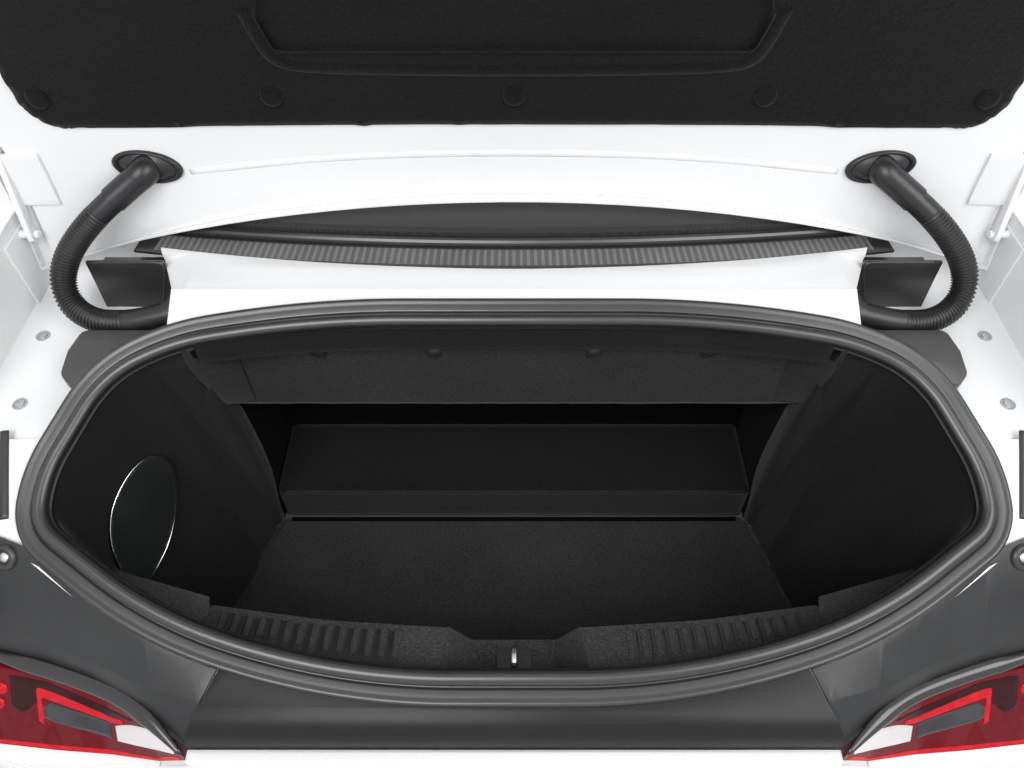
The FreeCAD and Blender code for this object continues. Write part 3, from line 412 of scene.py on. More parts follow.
class Workshop:
    """What every sub-assembly uses to make, dress and place its pieces."""

    def __init__(self) -> None:
        """Makes every finish once."""
        self.finishes = {finish.name: finish.make() for finish in FINISHES}

    def dress(self, node: str, finish: str) -> bpy.types.Object:
        """Gives a node of the frame its finish.

        Args:
            node: The node's name.
            finish: The finish's name.

        Returns:
            The node's object.
        """
        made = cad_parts[node]
        made.data.materials.clear()
        made.data.materials.append(self.finishes[finish])
        return made

    def settle(self, made: bpy.types.Object, finish: str, slot: str,
               body: Optional[str] = BODY, nodes: Iterable[str] = ()) -> bpy.types.Object:
        """Gives a new piece its finish and body, and hides the nodes it stands for.

        Args:
            made: The piece.
            finish: Its finish's name.
            slot: Not used.
            body: The body it rides on, or None for a piece that rides on none.
            nodes: The nodes it replaces.

        Returns:
            The piece.
        """
        made.data.materials.clear()
        made.data.materials.append(self.finishes[finish])
        if body is not None:
            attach(made, body)
        for node in nodes:
            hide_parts(node)
        log.info("%s: %d faces", made.name, len(made.data.polygons))
        return made

    def solid_of(self, node: str) -> bmesh.types.BMesh:
        """A copy of a node's mesh with its triangles joined to flat faces."""
        shape = bmesh.new()
        shape.from_mesh(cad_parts[node].data)
        bmesh.ops.remove_doubles(shape, verts=shape.verts[:], dist=0.00001)
        bmesh.ops.dissolve_limit(shape, angle_limit=math.radians(0.6), verts=shape.verts[:],
                                 edges=shape.edges[:])
        bmesh.ops.recalc_face_normals(shape, faces=shape.faces[:])
        return shape

    def softened(self, node: str, name: str, cell: float, rounds: int,
                 lumps: float = 0.0) -> bpy.types.Object:
        """A felt or foam piece: the node's solid with round edges and a slightly uneven face.

        Args:
            node: The node's name.
            name: The piece's name.
            cell: Size of the new faces in metres.
            rounds: How many times the mesh is smoothed.
            lumps: Height of the unevenness in metres.

        Returns:
            The piece.
        """
        shape = self.solid_of(node)
        low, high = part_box(node)
        for axis in range(3):
            normal = Vector((0.0, 0.0, 0.0))
            normal[axis] = 1.0
            count = int((high[axis] - low[axis]) / cell)
            for number in range(1, count + 1):
                middle = Vector(low)
                middle[axis] += (high[axis] - low[axis]) * number / (count + 1)
                parts = shape.verts[:] + shape.edges[:] + shape.faces[:]
                bmesh.ops.bisect_plane(shape, geom=parts, plane_co=middle, plane_no=normal, dist=0.000001)
        for _ in range(rounds):
            bmesh.ops.smooth_vert(shape, verts=shape.verts[:], factor=0.5, use_axis_x=True, use_axis_y=True,
                                  use_axis_z=True)
        shape.normal_update()
        moved = []
        for vert in shape.verts:
            shift = Vector((0.0, 0.0, 0.0))
            if lumps:
                uneven = noise.noise(vert.co * 38.0) + 0.5 * noise.noise(vert.co * 95.0)
                shift += vert.normal * uneven * lumps
            moved.append(shift)
        for vert, shift in zip(shape.verts, moved):
            vert.co += shift
        bmesh.ops.triangulate(shape, faces=[face for face in shape.faces if len(face.verts) > 4])
        made = mesh_object(name, shape)
        shade_smooth(made.data)
        return made

    def bevelled(self, node: str, name: str, width: float, segments: int = 3,
                 angle: float = 32.0) -> bpy.types.Object:
        """A hard piece: the node's solid with small round edges.

        Args:
            node: The node's name.
            name: The piece's name.
            width: Width of the rounding in metres.
            segments: Faces across the rounding.
            angle: Edges sharper than this many degrees are rounded.

        Returns:
            The piece.
        """
        made = mesh_object(name, self.solid_of(node))
        modifier = made.modifiers.new("round", "BEVEL")
        modifier.width = width
        modifier.segments = segments
        modifier.limit_method = "ANGLE"
        modifier.angle_limit = math.radians(angle)
        modifier.use_clamp_overlap = True
        apply_modifiers(made)
        smooth_by_angle(made.data, angle)
        return made


def smooth_by_angle(mesh: bpy.types.Mesh, angle: float) -> None:
    """Shades a mesh smooth, but for the edges that are sharper than an angle in degrees."""
    shade_smooth(mesh)
    shape = bmesh.new()
    shape.from_mesh(mesh)
    limit = math.radians(angle)
    for edge in shape.edges:
        edge.smooth = len(edge.link_faces) != 2 or edge.calc_face_angle(0.0) < limit
    shape.to_mesh(mesh)
    shape.free()


def route_points(points: Sequence[Vector]) -> list[Vector]:
    """Points along the smooth line that a route's points steer."""
    line = bpy.data.curves.new("route", "CURVE")
    line.dimensions = "3D"
    line.resolution_u = 16
    spline = line.splines.new("NURBS")
    spline.points.add(len(points) - 1)
    for point, where in zip(spline.points, points):
        point.co = (*where, 1.0)
    spline.order_u = 3
    spline.use_endpoint_u = True
    holder = bpy.data.objects.new("route", line)
    bpy.context.scene.collection.objects.link(holder)
    mesh = evaluated(holder)
    result = [vert.co.copy() for vert in mesh.vertices]
    bpy.data.objects.remove(holder)
    bpy.data.curves.remove(line)
    bpy.data.meshes.remove(mesh)
    return result


def even_points(points: Sequence[Vector], step: float) -> list[Vector]:
    """Points at even distances along a line of points."""
    lengths = [0.0]
    for first, second in zip(points, points[1:]):
        lengths.append(lengths[-1] + (second - first).length)
    count = max(2, round(lengths[-1] / step))
    result = []
    index = 0
    for number in range(count + 1):
        wanted = lengths[-1] * number / count
        while index < len(points) - 2 and lengths[index + 1] < wanted:
            index += 1
        share = (wanted - lengths[index]) / max(lengths[index + 1] - lengths[index], 1e-9)
        result.append(points[index].lerp(points[index + 1], min(max(share, 0.0), 1.0)))
    return result


def steered(route: Sequence[Point], step: float, hand: Hand = Hand.RIGHT) -> list[Vector]:
    """Even points along the smooth line that a route of the mouth frame steers.

    Args:
        route: Points in millimetres, given for the right side.
        step: Distance between the points in metres.
        hand: The side that the line is wanted for.

    Returns:
        Points of the row frame.
    """
    return even_points(route_points([place(hand.value * x, y, z) for x, y, z in route]), step)


def whole(half: Sequence[tuple[float, ...]]) -> list[tuple[float, ...]]:
    """A route across the car, from its right half that ends in the middle."""
    return [(-point[0], *point[1:]) for point in half] + list(reversed(half[:-1]))


def between(first: Vector, last: Vector, count: int) -> list[Vector]:
    """Points from one point to another, in a number of equal steps."""
    return [first.lerp(last, number / count) for number in range(count + 1)]


def in_metres(profile: Sequence[Pair]) -> list[Pair]:
    """A profile of millimetres, in metres."""
    return [(first * MM, second * MM) for first, second in profile]


def ring_edges(shape: bmesh.types.BMesh, points: Iterable[Vector]) -> list[bmesh.types.BMEdge]:
    """The edges of a new closed ring through points."""
    ring = [shape.verts.new(point) for point in points]
    return [shape.edges.new(pair) for pair in zip(ring, ring[1:] + ring[:1])]


def bridged(name: str, shape: bmesh.types.BMesh, rings: Sequence[list[bmesh.types.BMEdge]],
            closed: bool = False) -> bpy.types.Object:
    """A piece from rings that are bridged one to the next.

    Args:
        name: The piece's name.
        shape: The bmesh that holds the rings.
        rings: The edges of each ring.
        closed: Whether the last ring joins the first. Otherwise both ends are capped.

    Returns:
        The piece.
    """
    pairs = list(zip(rings, rings[1:])) + ([(rings[-1], rings[0])] if closed else [])
    for first, second in pairs:
        bmesh.ops.bridge_loops(shape, edges=first + second)
    if not closed:
        for ring in (rings[0], rings[-1]):
            bmesh.ops.contextual_create(shape, geom=ring)
    bmesh.ops.recalc_face_normals(shape, faces=shape.faces[:])
    made = mesh_object(name, shape)
    shade_smooth(made.data)
    return made


def sweep(name: str, path: Sequence[Vector], section: Callable[[float], Sequence[Pair]], up: Vector,
          closed: bool = False) -> bpy.types.Object:
    """A mesh swept along a line.

    Args:
        name: The piece's name.
        path: Points along the line.
        section: Gives the ring's side and height offsets for a share of the line's length.
        up: The direction that the section's height points in, roughly.
        closed: Whether the line is a loop.

    Returns:
        The piece.
    """
    shape = bmesh.new()
    rings = []
    count = len(path)
    for number, here in enumerate(path):
        before = path[number - 1] if closed or number else here
        after = path[(number + 1) % count] if closed or number < count - 1 else here
        ahead = (after - before).normalized()
        side = ahead.cross(up).normalized()
        rise = side.cross(ahead).normalized()
        offsets = section(number / count)
        rings.append(ring_edges(shape, [here + side * across + rise * height for across, height in offsets]))
    return bridged(name, shape, rings, closed)


def round_section(radius: float, count: int = 20, flat: float = 1.0) -> list[tuple[float, float]]:
    """A round or oval ring of side and height offsets."""
    turn = 2.0 * math.pi / count
    return [(radius * math.cos(turn * step), radius * flat * math.sin(turn * step)) for step in range(count)]


def turned(name: str, spots: Sequence[tuple[Vector, Vector]], profile: Sequence[tuple[float, float]],
           steps: int = 28) -> bpy.types.Object:
    """Round pieces, turned from one profile.

    Args:
        name: The piece's name.
        spots: Where each one stands, and the direction that it points in.
        profile: Radius and height in metres, from the middle of the top to the foot.
        steps: Faces round each one.

    Returns:
        One piece with them all.
    """
    shape = bmesh.new()
    for spot, axis in spots:
        rim = [shape.verts.new((radius, 0.0, height)) for radius, height in profile]
        line = [shape.edges.new(pair) for pair in zip(rim, rim[1:])]
        bmesh.ops.spin(shape, geom=rim + line, cent=(0, 0, 0), axis=(0, 0, 1), angle=2.0 * math.pi,
                       steps=steps, use_merge=True, use_duplicate=False)
        fresh = [vert for vert in shape.verts if not vert.tag]
        turn = axis.to_track_quat("Z", "Y").to_matrix().to_4x4()
        bmesh.ops.transform(shape, matrix=Matrix.Translation(spot) @ turn, verts=fresh)
        for vert in shape.verts:
            vert.tag = True
    bmesh.ops.remove_doubles(shape, verts=shape.verts[:], dist=0.00002)
    bmesh.ops.holes_fill(shape, edges=[edge for edge in shape.edges if edge.is_boundary], sides=0)
    bmesh.ops.recalc_face_normals(shape, faces=shape.faces[:])
    made = mesh_object(name, shape)
    smooth_by_angle(made.data, 50.0)
    return made


def plate(name: str, rows: Sequence[Sequence[Vector]], thickness: float,
          rounding: float = 0.0004) -> bpy.types.Object:
    """A thin closed plate over a grid of points, with rounded edges.

    Args:
        name: The piece's name.
        rows: Rows of points, all of one length.
        thickness: Thickness behind the points.
        rounding: Width of the edges' rounding.

    Returns:
        The piece.
    """
    shape = bmesh.new()
    chains = []
    for row in rows:
        line = [shape.verts.new(point) for point in row]
        chains.append([shape.edges.new(pair) for pair in zip(line, line[1:])])
    for first, second in zip(chains, chains[1:]):
        bmesh.ops.bridge_loops(shape, edges=first + second)
    bmesh.ops.recalc_face_normals(shape, faces=shape.faces[:])
    bmesh.ops.solidify(shape, geom=shape.faces[:], thickness=thickness)
    bmesh.ops.recalc_face_normals(shape, faces=shape.faces[:])
    sharp = [edge for edge in shape.edges if edge.calc_face_angle(0.0) > math.radians(50.0)]
    if rounding:
        bmesh.ops.bevel(shape, geom=sharp, offset=rounding, offset_type="OFFSET", segments=2, profile=0.5,
                        affect="EDGES", material=-1, clamp_overlap=True)
    made = mesh_object(name, shape)
    smooth_by_angle(made.data, 40.0)
    return made


def joined(name: str, pieces: Sequence[bpy.types.Object]) -> bpy.types.Object:
    """One piece from several that share a finish."""
    shape = bmesh.new()
    for piece in pieces:
        shape.from_mesh(piece.data)
        mesh = piece.data
        bpy.data.objects.remove(piece)
        bpy.data.meshes.remove(mesh)
    return mesh_object(name, shape)


class Surface:
    """A node's outside, to lay small pieces on."""

    def __init__(self, node: str) -> None:
        """Reads the node's mesh."""
        shape = bmesh.new()
        shape.from_mesh(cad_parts[node].data)
        self.tree = BVHTree.FromBMesh(shape)
        shape.free()

    def hit(self, start: Vector, direction: Vector) -> Optional[tuple[Vector, Vector]]:
        """The first point on the surface along a line, and the normal that faces the line's start."""
        point, normal, _, _ = self.tree.ray_cast(start, direction.normalized())
        if point is None:
            return None
        return point, normal if normal.dot(direction) < 0.0 else -normal


def middles(node: str) -> list[Vector]:
    """The middle of each separate solid of a node."""
    shape = bmesh.new()
    shape.from_mesh(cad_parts[node].data)
    bmesh.ops.remove_doubles(shape, verts=shape.verts[:], dist=0.00001)
    left = set(shape.verts)
    result = []
    while left:
        group, queue = [], [left.pop()]
        while queue:
            vert = queue.pop()
            group.append(vert.co.copy())
            for edge in vert.link_edges:
                other = edge.other_vert(vert)
                if other in left:
                    left.remove(other)
                    queue.append(other)
        low = Vector([min(point[axis] for point in group) for axis in range(3)])
        high = Vector([max(point[axis] for point in group) for axis in range(3)])
        result.append((low + high) / 2.0)
    shape.free()
    return sorted(result, key=lambda point: point.x)


# Camera, lights and floor


@dataclass(frozen=True)
class Lamp:
    """A square soft lamp: where it stands, what it looks at, its side in metres and its power in watts."""

    name: str
    at: Point
    aim: Point
    size: float
    power: float

    def build(self) -> None:
        """Makes the lamp."""
        data = bpy.data.lights.new(self.name, "AREA")
        data.size = self.size
        data.energy = self.power
        lamp = bpy.data.objects.new(self.name, data)
        lamp.location = self.at
        lamp.rotation_euler = (Vector(self.aim) - Vector(self.at)).to_track_quat("-Z", "Y").to_euler()
        bpy.context.scene.collection.objects.link(lamp)


@dataclass
class Studio:
    """The camera at the photograph's angle, soft lamps and a pale floor."""

    camera_at: Vector = field(default_factory=lambda: place(0.0, -314.0, 979.0))
    pitch: float = 50.0
    lens: float = 27.77
    sensor: float = 36.0
    shift: float = -0.002
    near: float = 0.02
    floor_below: float = 0.55
    floor_size: float = 6.0
    background: tuple[float, ...] = (0.92, 0.93, 0.95, 1.0)
    glow: float = 0.62
    lamps: tuple[Lamp, ...] = (
        Lamp("key", (-0.9, -2.4, 2.6), (0.0, -0.2, 0.2), 1.8, 62.0),
        Lamp("fill", (1.6, -1.6, 2.0), (0.0, -0.2, 0.3), 1.6, 34.0),
        Lamp("back", (0.2, 1.9, 2.6), (0.0, -0.3, 0.3), 1.8, 30.0),
    )

    def build(self) -> None:
        """Makes the camera, world, lamps and floor."""
        scene = bpy.context.scene
        scene.view_settings.view_transform = "Standard"
        camera = bpy.data.objects.new("camera", bpy.data.cameras.new("camera"))
        camera.data.lens = self.lens
        camera.data.sensor_width = self.sensor
        camera.data.shift_x = self.shift
        camera.location = self.camera_at
        camera.rotation_euler = (math.radians(90.0 - self.pitch), 0.0, 0.0)
        camera.data.clip_start = self.near
        scene.collection.objects.link(camera)
        scene.camera = camera
        self.make_world()
        for lamp in self.lamps:
            lamp.build()
        self.make_floor()

    def make_world(self) -> None:
        """A pale world, as white to the camera and in reflections, and dimmer on the object."""
        world = bpy.data.worlds.new("studio")
        bpy.context.scene.world = world
        world.use_nodes = True
        tree = world.node_tree
        background = tree.nodes["Background"]
        background.inputs["Color"].default_value = self.background
        path = tree.nodes.new("ShaderNodeLightPath")
        bright = tree.nodes.new("ShaderNodeMath")
        bright.operation = "MAXIMUM"
        tree.links.new(path.outputs["Is Camera Ray"], bright.inputs[0])
        tree.links.new(path.outputs["Is Glossy Ray"], bright.inputs[1])
        strength = tree.nodes.new("ShaderNodeMapRange")
        strength.inputs["To Min"].default_value = self.glow
        strength.inputs["To Max"].default_value = 1.0
        tree.links.new(bright.outputs[0], strength.inputs["Value"])
        tree.links.new(strength.outputs["Result"], background.inputs["Strength"])

    def make_floor(self) -> None:
        """A plain pale floor under the part."""
        shape = bmesh.new()
        bmesh.ops.create_grid(shape, x_segments=1, y_segments=1, size=self.floor_size)
        bmesh.ops.translate(shape, verts=shape.verts[:], vec=(0.0, 0.0, -self.floor_below))
        floor = mesh_object("floor", shape)
        sheet = NodeSheet("floor")
        floor.data.materials.append(sheet.shade(Base_Color=(0.82, 0.82, 0.82, 1.0), Roughness=0.8))


# Sub-assemblies. Places and profiles are in millimetres of the mouth frame, and the pieces' own radii,
# widths, lifts and thicknesses in metres.


@dataclass(frozen=True)
class HardPiece:
    """A panel or moulding that keeps its solid's shape and gets rounded edges."""

    node: str
    finish: str
    slot: str
    width: float = 0.0012
    segments: int = 3
    body: str = BODY

    def build(self, shop: Workshop) -> bpy.types.Object:
        """Makes the piece.

        Args:
            shop: Dresses and places the piece.

        Returns:
            The piece.
        """
        made = shop.bevelled(self.node, f"round_{self.node}", self.width, self.segments)
        return shop.settle(made, self.finish, self.slot, self.body, [self.node])


@dataclass(frozen=True)
class SoftPiece:
    """A felt or carpet piece: its solid with soft edges and a slightly uneven face."""

    node: str
    finish: str
    slot: str
    cell: float
    rounds: int
    lumps: float
    body: str = BODY

    def build(self, shop: Workshop) -> bpy.types.Object:
        """Makes the piece.

        Args:
            shop: Dresses and places the piece.

        Returns:
            The piece.
        """
        made = shop.softened(self.node, f"{self.slot}_{self.node}", self.cell, self.rounds, self.lumps)
        return shop.settle(made, self.finish, self.slot, self.body, [self.node])


@dataclass
class SubAssembly:
    """A group of pieces and the workshop that makes them."""

    shop: Workshop

    def build(self) -> None:
        """Makes the group's pieces."""
        raise NotImplementedError


@dataclass
class Conduit(SubAssembly):
    """The corrugated hose that carries the lid's cables, with its smooth sleeves."""

    hand: Hand
    radius: float = 0.018
    pitch: float = 0.0052
    wave: float = 0.0026
    body_sleeve: float = 0.062
    lid_sleeve: float = 0.050
    sleeve_step: float = 0.0006
    fade: float = 0.01
    crest: float = 0.7
    route: tuple[Point, ...] = (
        (498.0, 497.0, 171.0),
        (530.0, 492.0, 165.0),
        (570.0, 490.0, 159.0),
        (612.0, 496.0, 157.0),
        (646.0, 514.0, 168.0),
        (656.0, 536.0, 196.0),
        (644.0, 556.0, 226.0),
        (614.0, 574.0, 258.0),
        (578.0, 590.0, 286.0),
        (546.0, 606.0, 306.0),
    )

    def build(self) -> None:
        points = [place(self.hand.value * x, y, z) for x, y, z in self.route]
        path = even_points(route_points(points), self.pitch / 6.0)
        length = sum((second - first).length for first, second in zip(path, path[1:]))

        def section(share: float) -> list[Pair]:
            """The hose's ring at a share of its length."""
            along = share * length
            ridged = min(1.0, max(0.0, (along - self.body_sleeve) / self.fade))
            ridged *= min(1.0, max(0.0, (length - self.lid_sleeve - along) / self.fade))
            ripple = max(-self.crest, min(self.crest, math.cos(2.0 * math.pi * along / self.pitch)))
            drop = self.wave * (0.5 - 0.5 * ripple / self.crest)
            return round_section(self.radius - drop * ridged - self.sleeve_step * (1.0 - ridged))

        name = f"conduit_hose_{self.hand.word}"
        made = sweep(name, path, section, Vector((self.hand.value * 0.3, 0.2, 1.0)))
        self.shop.settle(made, "hose_rubber", "seal_rubber", None, [f"conduit_{self.hand.word}"])
        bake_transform(made)


@dataclass
class MouthSeal(SubAssembly):
    """The rubber seal round the mouth: a clamped band and a hollow bulb."""

    corners: tuple[Point, ...] = (
        (220.0, 0.0, 1000.0),
        (462.0, 74.0, 640.0),
        (639.0, 198.0, 90.0),
        (639.0, 289.0, 200.0),
        (573.0, 440.0, 180.0),
        (468.0, 493.0, 320.0),
        (283.0, 526.0, 1500.0),
    )
    band: tuple[Pair, ...] = (
        (22.0, 0.3), (22.1, 4.6), (21.4, 7.2), (19.4, 8.9), (16.6, 9.2), (14.2, 8.0), (11.0, 7.4), (4.0, 7.2),
        (1.4, 6.2), (0.2, 4.0),
    )
    bulb_middle: Pair = (-11.6, 10.4)
    bulb_radius: float = 9.6
    bulb_start: float = -25.0
    bulb_turn: float = 20.0
    bulb_faces: int = 12
    lip: tuple[Pair, ...] = ((-18.4, 3.4), (-21.9, 2.6), (-21.9, 0.3))
    inset: float = -22.0

    def outline(self, grow: float, step: float = 12.0) -> list[Vector]:
        """The mouth's outline, moved outwards, as even points in the mouth's plane.

        Args:
            grow: How far outwards, in millimetres.
            step: Distance between the points.

        Returns:
            Points of x and the place along the slope.
        """
        corners = list(self.corners) + [(-x, y, radius) for x, y, radius in reversed(self.corners)]
        count = len(corners)
        points: list[Vector] = []
        for index in range(count):
            here = Vector(corners[index][:2])
            back = (Vector(corners[index - 1][:2]) - here).normalized()
            ahead = (Vector(corners[(index + 1) % count][:2]) - here).normalized()
            half = (math.pi - back.angle(ahead)) / 2.0
            radius = corners[index][2]
            centre = here + (back + ahead).normalized() * radius / math.cos(half)
            start = (here + back * radius * math.tan(half)) - centre
            parts = max(2, int(radius * half * 2.0 / step))
            for part in range(parts + 1):
                arm = Matrix.Rotation(half * 2.0 * part / parts, 2) @ start
                points.append(centre + arm * (radius + grow) / radius)
        return points

    def build(self) -> None:
        """Makes the seal."""
        path = [on_mouth(point.x, point.y) for point in self.outline(self.inset)]
        path = even_points(path + path[:1], 0.006)[:-1]
        profile = list(self.band)
        for step in range(self.bulb_faces):
            turn = math.radians(self.bulb_start + step * self.bulb_turn)
            profile.append((self.bulb_middle[0] + self.bulb_radius * math.cos(turn),
                            self.bulb_middle[1] + self.bulb_radius * math.sin(turn)))
        ring = in_metres(profile + list(self.lip))
        up = Vector((0.0, -math.sin(MOUTH_SLOPE), math.cos(MOUTH_SLOPE)))
        made = sweep("mouth_seal", path, lambda share: ring, up, True)
        self.shop.settle(made, "seal_rubber", "seal_rubber", BODY, ["boot_seal"])


@dataclass
class LoadSpace(SubAssembly):
    """Linings, floor and step of the load space."""

    soft: tuple[SoftPiece, ...] = (
        SoftPiece("rear_liner", "felt", "felt", 0.014, 2, 0.0002),
        # Painted shade: the recess lining takes the darker shaded felt.
        SoftPiece("recess_liner", "recess_felt", "felt", 0.016, 2, 0.0002),
        SoftPiece("front_flap", "flap_felt", "felt", 0.009, 2, 0.0006),
        SoftPiece("floor_mat", "floor_carpet", "carpet", 0.014, 2, 0.0006),
        SoftPiece("step_board", "carpet", "carpet", 0.014, 2, 0.0006),
    )
    step_half: float = 424.0
    # Where the painted highlight roll and the painted shadow roll run along the step.
    step_edge: Pair = (473.6, -271.0)
    step_shadow_foot: Pair = (461.0, -347.5)
    header_half: tuple[Pair, ...] = (
        (434.0, 411.4), (361.0, 423.3), (293.0, 431.4), (230.0, 435.6), (157.0, 438.0), (0.0, 438.6),
    )
    header_top: float = 199.0
    header_drop: Point = (0.0, -0.0015, -0.039)
    fold_route: tuple[Point, ...] = (
        (440.0, 420.5, 100.0),
        (440.0, 426.5, 40.0),
        (440.0, 433.7, -28.0),
        (440.0, 443.4, -127.0),
        (441.0, 452.0, -233.0),
        (444.0, 452.0, -306.0),
        (446.0, 450.0, -347.0),
    )
    fold_front: tuple[Pair, ...] = (
        (-38.0, -25.2), (-26.0, -15.0), (-16.0, -6.3), (-8.0, 0.6), (0.0, 3.0), (8.0, 0.6), (16.0, -6.3),
        (26.0, -15.0), (38.0, -25.2),
    )
    fold_back: tuple[Pair, ...] = ((38.0, -30.0), (0.0, -10.0), (-38.0, -30.0))
    fold_reach: float = 0.080
    fold_front_sunk: float = 0.0030
    fold_back_sunk: float = 0.0050
    wing_ends: tuple[tuple[Point, Point], ...] = (
        ((452.0, 407.0, 186.0), (398.0, 446.6, 178.0)),
        ((453.0, 409.0, 160.0), (398.0, 447.0, 150.0)),
        ((450.0, 414.0, 125.0), (398.0, 447.5, 110.0)),
        ((444.0, 423.0, 85.0), (398.0, 448.0, 72.0)),
        ((436.0, 434.0, 42.0), (398.0, 448.4, 35.0)),
    )
    ledge_front: tuple[Pair, ...] = ((552.0, 191.0), (504.0, 178.0), (458.0, 165.0), (412.0, 152.0))
    ledge_height: float = -22.5
    ledge_back: Pair = (-14.0, -66.0)
    pin_profile: tuple[Pair, ...] = (
        (0.0, 4.0), (4.0, 3.8), (7.2, 2.9), (8.4, 2.1), (9.2, 2.5), (10.6, 2.2), (11.4, 1.0), (11.5, 0.0),
    )
    oval_middle: Pair = (283.0, -42.0)
    oval_long: float = 0.0958
    oval_short: float = 0.0608
    oval_tilt: float = 49.0
    oval_lift: float = 0.0050
    oval_rim: float = 0.0011
    bow: tuple[Pair, ...] = (
        (60.0, -57.5), (60.0, -27.0), (63.0, -25.0), (79.0, -25.0), (82.0, -27.0), (82.0, -57.5),
    )
    bow_radius: float = 0.0042
    groove_first: float = 159.0
    groove_pitch: float = 18.0
    grooves_a_side: int = 13
    groove_half_left: float = 0.0028
    groove_half_right: float = 0.0012
    groove_lowest: float = -36.0
    groove_lift: float = 0.0006
    groove_thick: float = 0.0009

    def build(self) -> None:
        """Makes the felt linings."""
        for hand in Hand:
            SoftPiece(f"side_liner_{hand.word}", "felt", "felt", 0.011, 3, 0.0003).build(self.shop)
            self.make_fold(hand)
            self.make_wing(hand)
            self.make_ledge(hand)
        for piece in self.soft:
            piece.build(self.shop)
        for node in ("boot_tub", "mount_rails"):
            self.shop.dress(node, "tub_paint")
        # Painted highlight and shadow: a pale felt roll along the step's top edge, and a dark felt roll where
        # the step meets the floor.
        for name, finish, spot in (("step_edge", "flap_felt", self.step_edge),
                                   ("step_shadow_foot", "recess_felt", self.step_shadow_foot)):
            path = even_points([place(-self.step_half, *spot), place(self.step_half, *spot)], 0.02)
            edge = sweep(name, path, lambda share: round_section(0.0042, 12), UP)
            self.shop.settle(edge, finish, "carpet")
        self.make_header()
        self.make_pins()
        self.make_oval()
        self.make_striker()
        self.make_groove_shade()

    def make_header(self) -> None:
        """Felt strip on the header over the flap."""
        line = steered([(x, y, self.header_top) for x, y in whole(self.header_half)], 0.02)
        rows = [between(point, point + Vector(self.header_drop), 4) for point in line]
        made = plate("header_felt", rows, 0.0015, 0.0004)
        self.shop.settle(made, "felt", "felt")

    def make_fold(self, hand: Hand) -> None:
        """Soft fold of felt down the corner of wall and recess, and on along the floor.

        Its edges follow the linings just behind their faces, so that none comes through the tub.

        Args:
            hand: The car's side.
        """
        ring = in_metres((*self.fold_front, *self.fold_back))

        def section(share: float) -> list[Pair]:
            """The fold's ring at a share of its length."""
            size = min(1.0, 0.15 + 3.0 * share)
            return [(across * size, height * size) for across, height in ring]

        inward = Vector((-hand.value * 0.83, -0.56, 0.0)).normalized()
        made = sweep(f"felt_fold_{hand.word}", steered(self.fold_route, 0.008, hand), section, inward)
        linings = [Surface(f"side_liner_{hand.word}"), Surface("recess_liner")]
        for vert in made.data.vertices:
            start = vert.co + inward * self.fold_reach
            faces = [found[0] for found in (lining.hit(start, -inward) for lining in linings) if found]
            if faces:
                face = min(faces, key=lambda point: (point - start).length)
                in_front = vert.index % len(ring) < len(self.fold_front)
                deepest = self.fold_front_sunk if in_front else self.fold_back_sunk
                if (face - vert.co).dot(inward) > deepest:
                    vert.co = face - inward * deepest
        self.shop.settle(made, "felt", "felt")

    def make_wing(self, hand: Hand) -> None:
        """The flap's turned-out end beside the wall.

        Args:
            hand: The car's side.
        """
        rows = []
        for outer, inner in self.wing_ends:
            first, last = [place(hand.value * x, y, z) for x, y, z in (outer, inner)]
            rows.append(between(first, last, 5))
        made = plate(f"flap_wing_{hand.word}", rows, -0.003 * hand.value, 0.0010)
        self.shop.settle(made, "flap_felt", "felt")

    def make_ledge(self, hand: Hand) -> None:
        """Felt cover on the wall's rear ledge, with a straight edge, painted lighter as the light on the
        ledge's top.

        Args:
            hand: The car's side.
        """
        rows = []
        across, along = self.ledge_back
        for x, y in self.ledge_front:
            front = place(hand.value * x, y, self.ledge_height)
            back = place(hand.value * (x + across), y + along, self.ledge_height)
            rows.append(between(front, back, 4))
        made = plate(f"ledge_cover_{hand.word}", rows, 0.0040, 0.0010)
        self.shop.settle(made, "lit_ledge_felt", "felt")

    def make_pins(self) -> None:
        """Domed push pins with a ring, on the flap."""
        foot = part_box("flap_pins")[1][1]
        spots = [(Vector((middle.x, foot, middle.z)), Vector((0, -1, 0))) for middle in middles("flap_pins")]
        made = turned("push_pins", spots, in_metres(self.pin_profile))
        self.shop.settle(made, "black_plastic", "black_plastic", BODY, ["flap_pins"])

    def make_oval(self) -> None:
        """Smooth oval cover with a thin bright rim."""
        cover = self.shop.softened("oval_cover", "oval_panel", 0.008, 1)
        self.shop.settle(cover, "oval_panel", "felt", BODY, ["oval_cover"])
        wall = Surface("side_liner_left")
        y, z = self.oval_middle
        middle, upper, forward = [wall.hit(place(0.0, *spot), Vector((-1, 0, 0)))[0]
                                  for spot in ((y, z), (y, z + 80.0), (y + 60.0, z))]
        up = (upper - middle).normalized()
        inward = (forward - middle).cross(up).normalized()
        tilt = math.radians(self.oval_tilt)
        along = up * math.cos(tilt) + up.cross(inward) * math.sin(tilt)
        beside = inward.cross(along)
        path = []
        for step in range(72):
            turn = math.radians(step * 5.0)
            start = middle + along * (self.oval_long * math.cos(turn)) + inward * 0.05
            start += beside * (self.oval_short * math.sin(turn))
            path.append(wall.hit(start, -inward)[0] + inward * self.oval_lift)
        rim = sweep("oval_rim", path, lambda share: round_section(self.oval_rim, 8), inward, True)
        self.shop.settle(rim, "bright_edge", "steel")

    def make_striker(self) -> None:
        """Bright wire bow on a dark base."""
        self.shop.dress("striker", "black_plastic")
        bow = [place(0.0, y, z) for y, z in self.bow]
        wire = sweep("striker_bow", bow, lambda share: round_section(self.bow_radius, 14), Vector((1, 0, 0)))
        self.shop.settle(wire, "steel", "steel")

